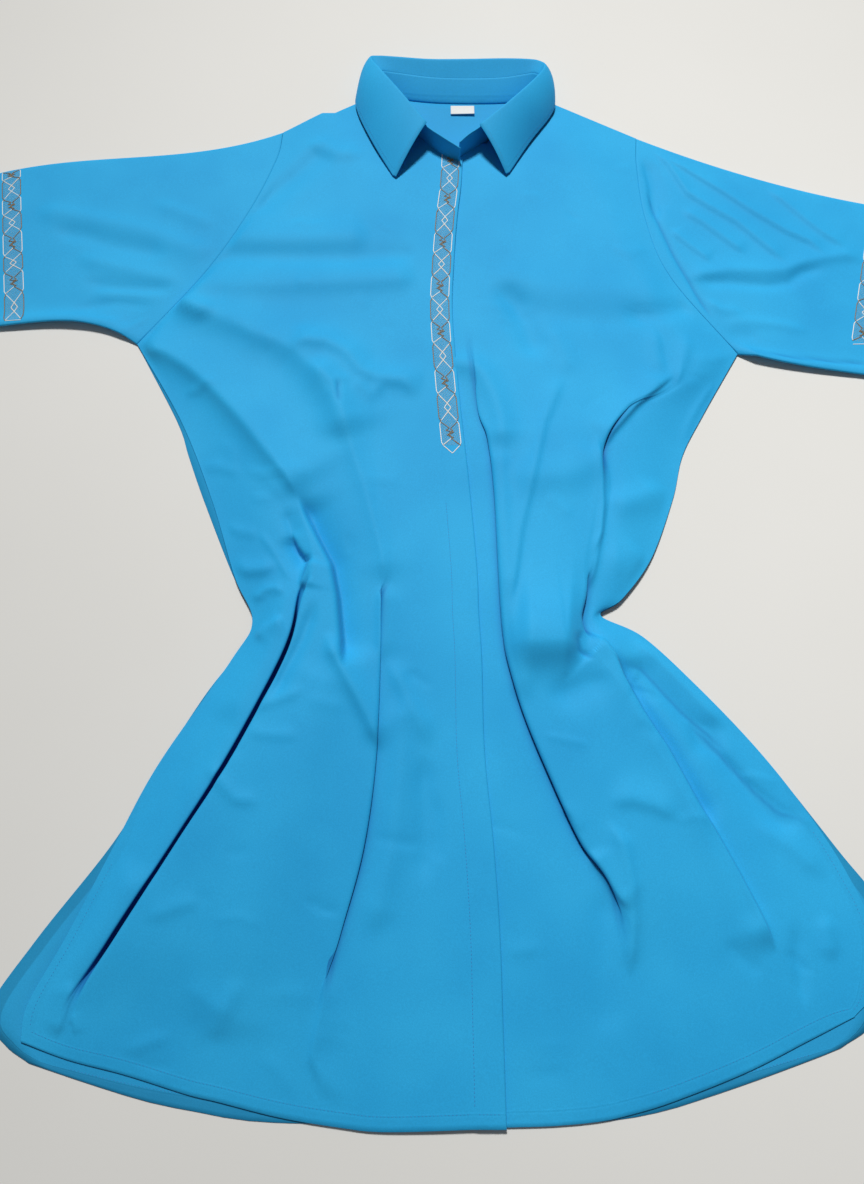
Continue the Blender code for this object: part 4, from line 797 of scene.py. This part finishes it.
# Collar. Along the neck, from the end on top round to the end below it: seam x, y and the height of
# the panels there; the stand's upper edge; then roll line, point the leaf bends towards, free edge.
collar = {
    "per": 10, "standWall": 1.4, "leafWall": 1.2, "roll": 1.6, "leafRows": (2, 16), "inset": 4.0,
    "standInset": 3.5, "sink": 4.2, "lowest": 1.3,
    "neck": [
        (26, 429.5, 8.7, (27, 431, 25), None, None, None),
        (6, 440, 8.5, (6, 445, 28), None, None, None),
        (-12, 459, 7.9, (-13, 461, 29), (-11, 460, 33), (-28, 434, 28), (-46.5, 403.5, 9.8)),
        (-35, 486, 6.6, (-36, 491, 30), (-37, 496, 37), (-54, 474, 30), (-70, 449, 11)),
        (-57, 511, 5.0, (-60, 523, 27), (-62, 534, 35), (-78, 518, 29), (-89, 496, 8.5)),
        (-65, 527, 4.2, (-68, 546, 22), (-76, 563, 27), (-88, 548, 23), (-93, 523, 8)),
        (-56, 530, 3.7, (-61, 551, 19), (-67, 568, 25), (-85, 568, 12), (-80, 544, 2.2)),
        (-42, 528, 1.5, (-44, 551, 16.5), (-46, 567.5, 24), (-54, 580, 4), (-52, 542, 1.4)),
        (-6, 523, 1.5, (-7, 547, 14.5), (-8, 565, 23), (-10, 581, 2), (-10, 539, 1.4)),
        (34, 521.5, 1.5, (34, 545.5, 14), (34, 565, 23), (34, 581, 2), (34, 538, 1.4)),
        (74, 522, 1.5, (76, 546.5, 14.5), (77, 566, 23), (80, 581, 2), (80, 538, 1.4)),
        (98, 525, 1.5, (102, 548.5, 17), (105, 564, 24), (114, 577, 4), (106, 538, 1.4)),
        (108, 526, 3.8, (113, 547, 20), (118, 560.5, 25), (134, 562, 12), (128, 532, 2.2)),
        (113, 522, 4.4, (119, 538, 23), (125, 550, 28), (138, 536, 22), (137, 514, 8)),
        (104, 506, 5.0, (109, 518, 27), (114, 526, 34), (128, 512, 27), (130, 493, 8.5)),
        (78, 481, 6.0, (79, 486, 30), (83, 488, 37), (96, 470, 30), (106, 455, 10)),
        (49, 456, 6.3, (50, 459, 29), (48, 457, 33), (64, 433, 28), (79, 407.5, 9.8)),
        (36, 445.5, 6.3, (36, 448, 28), None, None, None),
        (25, 437, 6.3, (26, 440, 25), None, None, None),
    ],
}
neck = collar["neck"]
neckAt = np.arange(0, (len(neck) - 1) * collar["per"] + 1) / collar["per"]
seamLine = smoothRows([row[:2] for row in neck], neckAt)
# the base sinks into the seam
panel = np.interp(neckAt, np.arange(len(neck)), [row[2] for row in neck])[:, None]
baseHeight = np.maximum(panel - collar["sink"], collar["lowest"])
standTop = smoothRows([row[3] for row in neck], neckAt)
# the stand rises from its base with a lean that grows as the height to the power 1.25
rise = np.linspace(0, 1, 18)[None, :, None]
standGrid = np.dstack([seamLine[:, None] + (standTop[:, None, :2] - seamLine[:, None]) * rise**1.25,
                       baseHeight[:, None] + (standTop[:, None, 2:] - baseHeight[:, None]) * rise])


# hemGap values that put the stitched valley at this distance from the edge
def stitchedAt(distance, inset):
    return distance + layout["hem"] - 0.6 - inset


standPiece = shell("collar_stand_cloth", standGrid, collar["standWall"], cloth,
                   values={"hemGap": stitchedAt(standGrid[..., 2] - standGrid[:, :1, 2], collar["standInset"])})
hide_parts("collar_stand")
low, high = collar["leafRows"]
leafAt = np.arange(0, (high - low) * collar["per"] + 1) / collar["per"]
roll, pull, edge = (smoothRows([row[k] for row in neck[low:high + 1]], leafAt) for k in (4, 5, 6))
# the points are rounded: over 4 mm from each end the free edge draws back, by up to 2.4 mm
along = walk(edge)
near = np.clip(1 - np.minimum(along, along[-1] - along) / 4, 0, 1)[:, None]
edge = edge + unit(roll - edge) * 2.4 * near**2
standLast = standGrid[low * collar["per"]:high * collar["per"] + 1]
rising = unit(standLast[:, -1] - standLast[:, -6])
foot = standLast[:, -1] + rising * 0.3
upright = foot + rising * collar["leafWall"]
inside = roll - unit(roll - upright) * collar["roll"]
shoulder = roll + unit(pull - roll) * collar["roll"]
over = (inside + shoulder) / 2 + (roll - (inside + shoulder) / 2) * 0.75
steps = [foot, upright] + [upright + (inside - upright) * f for f in (0.33, 0.67)] + [inside, over, shoulder]
# then the leaf falls as a quadratic Bezier from the shoulder, towards pull, to its edge
for f in np.linspace(0, 1, 13)[1:]:
    steps.append((1 - f)**2 * shoulder + 2 * f * (1 - f) * pull + f**2 * edge)
leafGrid = softColumns(steps, 2)
fromEnd = walk(leafGrid)
leafRim = np.minimum(walk(leafGrid[:, ::-1], 1)[:, ::-1], np.minimum(fromEnd, fromEnd[-1:] - fromEnd))
leafPiece = shell("collar_leaf_cloth", leafGrid, collar["leafWall"], cloth,
                  values={"hemGap": stitchedAt(leafRim, collar["inset"])})
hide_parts("collar_leaf")
print("collar ready")

# Size label: blank woven tape 27 by 13 mm under the back neck seam. With u across and v down, 0 to 1,
# it lifts as v squared times (0.6 + 0.4u), most at its free corner.
label = {"size": (27.0, 13.0), "corner": (17.0, 517.0), "low": 1.8, "high": 3.4, "wall": 0.9}
u = np.linspace(0, 1, 28)[None]
v = np.linspace(0, 1, 14)[:, None]
labelGrid = np.dstack([label["corner"][0] + label["size"][0] * u + 0 * v,
                       label["corner"][1] - label["size"][1] * v + 0 * u,
                       label["low"] + (label["high"] - label["low"]) * v**2 * (0.6 + 0.4 * u)])
labelPiece = shell("size_label_tape", labelGrid, label["wall"], tape)
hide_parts("size_label")

# Stitching: rows of short threads a fixed distance inside the edges; each dips in at its ends. slit
# and back are the distances at the side slits and the back hem; below is the placket's first row.
stitching = {"pitch": 3.0, "share": 0.7, "width": 0.5, "height": 0.34, "lift": 0.02, "dip": 0.28,
             "slit": 7.0, "back": 12.0, "below": 120}


def stitchRow(grid, rows, columns, lift):
    path, normal = onGrid(grid, rows, columns, lift)
    walked, pitch = walk(path), stitching["pitch"]
    runs = []
    for start in np.arange(pitch, walked[-1] - pitch, pitch):
        at = start + np.linspace(0, pitch * stitching["share"], 4)
        up = follow(at, walked, normal)
        bend = np.array([-stitching["dip"], stitching["lift"], stitching["lift"], -stitching["dip"]])[:, None]
        runs.append((follow(at, walked, path) + up * bend, up, stitching["width"], stitching["height"]))
    return runs


# fractional columns at a distance from the side column, for each row
def columnsInside(grid, rows, distance, fromEnd):
    return rowAtDistance(np.swapaxes(grid, 0, 1), rows, distance, fromEnd)


walls = (layout["cloth"], placket["wall"], backPanel["wall"], collar["leafWall"])
bodyLift, bandLift, backLift, leafLift = (wall / 2 + stitching["lift"] for wall in walls)
bodySeams, leafSeams = [], []
for grid, first, last, count, lift in ((rightWhole, 6, bandStart - 2, 160, bodyLift),
                                       (rightWhole, bandStart + 1, rightWhole.shape[1] - 3, 20, bandLift),
                                       (leftGrid, 22, leftGrid.shape[1] - 8, 160, bodyLift)):
    columns = np.linspace(first, last, count)
    bodySeams += stitchRow(grid, rowAtDistance(grid, columns, layout["hem"]), columns, lift)
for grid, first, count, fromEnd in ((rightWhole, slit + 6, 50, False), (leftGrid, leftSlit + 6, 60, True)):
    rows = np.linspace(first, grid.shape[0] - 8, count)
    bodySeams += stitchRow(grid, rows, columnsInside(grid, rows, stitching["slit"], fromEnd), bodyLift)
rows = np.linspace(stitching["below"], rightWhole.shape[0] - 4, 260)
bodySeams += stitchRow(rightWhole, rows, np.full(len(rows), bandStart + 1.2), bandLift)
columns = np.linspace(2, backGrid.shape[1] - 3, 120)
bodySeams += stitchRow(backGrid, rowAtDistance(backGrid, columns, stitching["back"]), columns, backLift)
hemThreads = threads("sewing_thread_body", bodySeams, sewingThread)
rows = np.linspace(4, leafGrid.shape[0] - 5, 400)
leafSeams += stitchRow(leafGrid, rows, columnsInside(leafGrid, rows, collar["inset"], True), leafLift)
for side in (False, True):
    columns = np.linspace(16, leafGrid.shape[1] - 6, 60)
    leafSeams += stitchRow(leafGrid, rowAtDistance(leafGrid, columns, collar["inset"], side), columns, leafLift)
collarThreads = threads("sewing_thread_collar", leafSeams, sewingThread)
print("stitching ready")

# Embroidery: a strip of units between joints, in two strands. In a motif u runs across from -1 to 1
# and v from the lower joint at 0 to the upper at 1. The white and the taupe strand take the outline
# in turn: a knotted diagonal lies inside the white one, crossed lines with a small diamond inside
# the taupe one, and fine silver thread fills the strip with a diagonal mesh: a line every mesh mm,
# rising by slope for 1 across, in a share of the strip given by reach. half and cuffHalf are half the
# strip's width. A strand is its width, height and lift off the cloth, and the step between its points.
embroidery = {"half": 9.7, "cuffHalf": 10.0, "middle": 12.9, "tip": 8.5, "mesh": 3.2, "reach": 0.93, "slope": 1.15,
              "joints": [441, 419, 390.1, 362, 330.4, 302, 273.4, 244, 215.3, 187.8, 156.6, 127.2, 96.1, 68.4],
              "strands": {"white": (0.95, 0.5, 0.1, 0.8), "taupe": (1.05, 0.55, 0.22, 0.8),
                          "silver": (0.36, 0.3, 0.02, 2.0)}}
narrow = 0.84  # half the strip's width at a joint
outline = [(-narrow, 0), (-1, 0.13), (-1, 0.87), (-narrow, 1)]
mirrored = [(-u, v) for u, v in outline]
diamond = [(-0.84, 0.99), (0.0, 0.66), (0.34, 0.5), (0.0, 0.35), (-0.8, 0.02)]
motifs = [
    [
        ("white", outline), ("white", mirrored),
        ("taupe", [(-0.95, 0.99), (-0.05, 0.72), (-0.42, 0.62), (0.4, 0.54), (-0.38, 0.43), (0.3, 0.33), (0.0, 0.3),
                   (0.95, 0.01)]),
        ("taupe", [(0.85, 0.97), (0.08, 0.7), (0.28, 0.6), (-0.2, 0.48), (0.12, 0.36)]),
        ("white", [(0.1, 0.3), (-0.28, 0.2), (-0.85, 0.03)]),
    ],
    [("taupe", outline), ("taupe", mirrored), ("white", diamond), ("white", [(-u, v) for u, v in diamond])],
]
runs = {color: [] for color in embroidery["strands"]}


# One strand along a path in mm, with points at even steps; place gives points and normals.
def stitch(color, path, place):
    width, height, lift, step = embroidery["strands"][color]
    path = np.asarray(path, float)
    walked = walk(path)
    at = np.linspace(0, walked[-1], max(3, int(walked[-1] / step) + 1))
    points, normal = place(follow(at, walked, path))
    runs[color].append((points + normal * lift, normal, width, height))


# A strip along joints, first to last; place turns (across, along) in mm into points and normals.
def embroider(joints, firstKind, half, place):
    for i, (start, end) in enumerate(zip(joints[:-1], joints[1:])):
        for color, path in motifs[(i + firstKind) % 2]:
            path = np.array(path)
            stitch(color, np.stack([path[:, 0] * half, end + path[:, 1] * (start - end)], axis=1), place)
    low, high = min(joints[0], joints[-1]), max(joints[0], joints[-1])
    reach, slope = embroidery["reach"] * half, embroidery["slope"]
    for side in (-1, 1):
        for foot in np.arange(low - 2 * reach, high, embroidery["mesh"]):
            along = np.clip([foot, foot + 2 * slope * reach], low, high)
            if along[1] - along[0] > 2:  # shorter ends are left out
                stitch("silver", np.stack([side * (reach - (along - foot) / slope), along], axis=1), place)


def onPlacket(path):
    row = np.interp(-path[:, 1], -band[:, 10, 1], np.arange(len(band)))
    column = bandStart + (path[:, 0] + embroidery["middle"]) / placket["width"] * (placket["columns"] - 1)
    return onGrid(rightWhole, row, column, placket["wall"] / 2)


joints, half = embroidery["joints"], embroidery["half"]
embroider(joints, len(joints) % 2, half, onPlacket)
foot = joints[-1]
stitch("white", [(-narrow * half, foot), (0, foot - embroidery["tip"]), (narrow * half, foot)], onPlacket)

# The same strip round the upper side of each cuff: shares of the cuff's width where the joints lie,
# the strip's middle at both ends, in mm from the cuff's edge, and how far its last line slants.
cuffs = {
    "right_sleeve": {"joints": [0.004, 0.067, 0.2, 0.311, 0.429, 0.579, 0.681, 0.815, 0.985],
                     "middle": (17.5, 20.5), "up": 1.0, "slant": 1.0},
    "left_sleeve": {"joints": [0.01, 0.125, 0.25, 0.37, 0.495, 0.61, 0.725, 0.835],
                    "middle": (23.0, 23.0), "up": -1.0, "slant": 4.0},
}
half = embroidery["cuffHalf"]
for name, cuff in cuffs.items():
    grid, made = sleeveGrids[name]
    length = np.linalg.norm(grid[-1] - grid[0], axis=1)
    across = float(np.linalg.norm(grid[-1, -1] - grid[-1, 0]))

    def onCuff(path):
        share = path[:, 1] / across
        column = share * (grid.shape[1] - 1)
        inward = np.interp(share, [0, 1], cuff["middle"]) + path[:, 0]
        row = (grid.shape[0] - 1) * (1 - inward / np.interp(column, np.arange(grid.shape[1]), length))
        return onGrid(grid, row, column, layout["cloth"] / 2, cuff["up"])

    spots = [share * across for share in cuff["joints"]]
    embroider(spots, 0, half, onCuff)
    stitch("white", [(-narrow * half, spots[-1]), (narrow * half, spots[-1] + cuff["slant"])], onCuff)
    print(name, "cuff embroidered")
whitePiece = threads("embroidery_white", runs["white"], whiteThread)
taupePiece = threads("embroidery_taupe", runs["taupe"], taupeThread)
silverPiece = threads("embroidery_mesh", runs["silver"], silverThread, 4)
print("embroidery ready")

everything = [rightPiece, leftPiece, backPiece, standPiece, leafPiece, hemThreads, collarThreads, whitePiece,
              taupePiece, silverPiece] + [made for grid, made in sleeveGrids.values()] + [labelPiece]
for piece in everything:
    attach(piece, "root")

# Floor, light and camera, in metres
board = {"half": 1.6}
mesh = bpy.data.meshes.new("painted board")
corners = [(x * board["half"], y * board["half"], 0) for x, y in ((-1, -1), (1, -1), (1, 1), (-1, 1))]
mesh.from_pydata(corners, [], [(0, 1, 2, 3)])
mesh.materials.append(boardMaterial("painted board"))
window = {"towards": (-0.15, 0.59, 0.793), "aim": (0.5, -0.28, 0.0), "away": 5.2, "size": 0.85,
          "power": 41.3, "spread": 72}
lamp = bpy.data.lights.new("window light", "AREA")
lamp.shape = "DISK"
lamp.size = window["size"]
lamp.energy = window["power"]
lamp.spread = math.radians(window["spread"])
floor = bpy.data.objects.new("painted_board", mesh)
lampObject = bpy.data.objects.new("window light", lamp)
lampObject.location = [window["aim"][k] + window["towards"][k] * window["away"] for k in range(3)]
lampObject.rotation_euler = Vector(window["towards"]).to_track_quat("Z", "Y").to_euler()
for item in (floor, lampObject):
    bpy.context.collection.objects.link(item)
world = bpy.data.worlds.new("room light")
bpy.context.scene.world = world
world.use_nodes = True
world.node_tree.nodes["Background"].inputs["Color"].default_value = linear("#EEF3FA")
world.node_tree.nodes["Background"].inputs["Strength"].default_value = 0.14

lens = bpy.data.cameras.new("camera")
lens.sensor_width = 36
lens.lens = 27.365
lens.clip_start = 0.02
camera = bpy.data.objects.new("camera", lens)
camera.location = (-0.0135, -0.38141, 0.81031)
camera.rotation_euler = (math.radians(19), 0, 0)
bpy.context.collection.objects.link(camera)
bpy.context.scene.camera = camera
bpy.context.scene.view_settings.view_transform = "Standard"
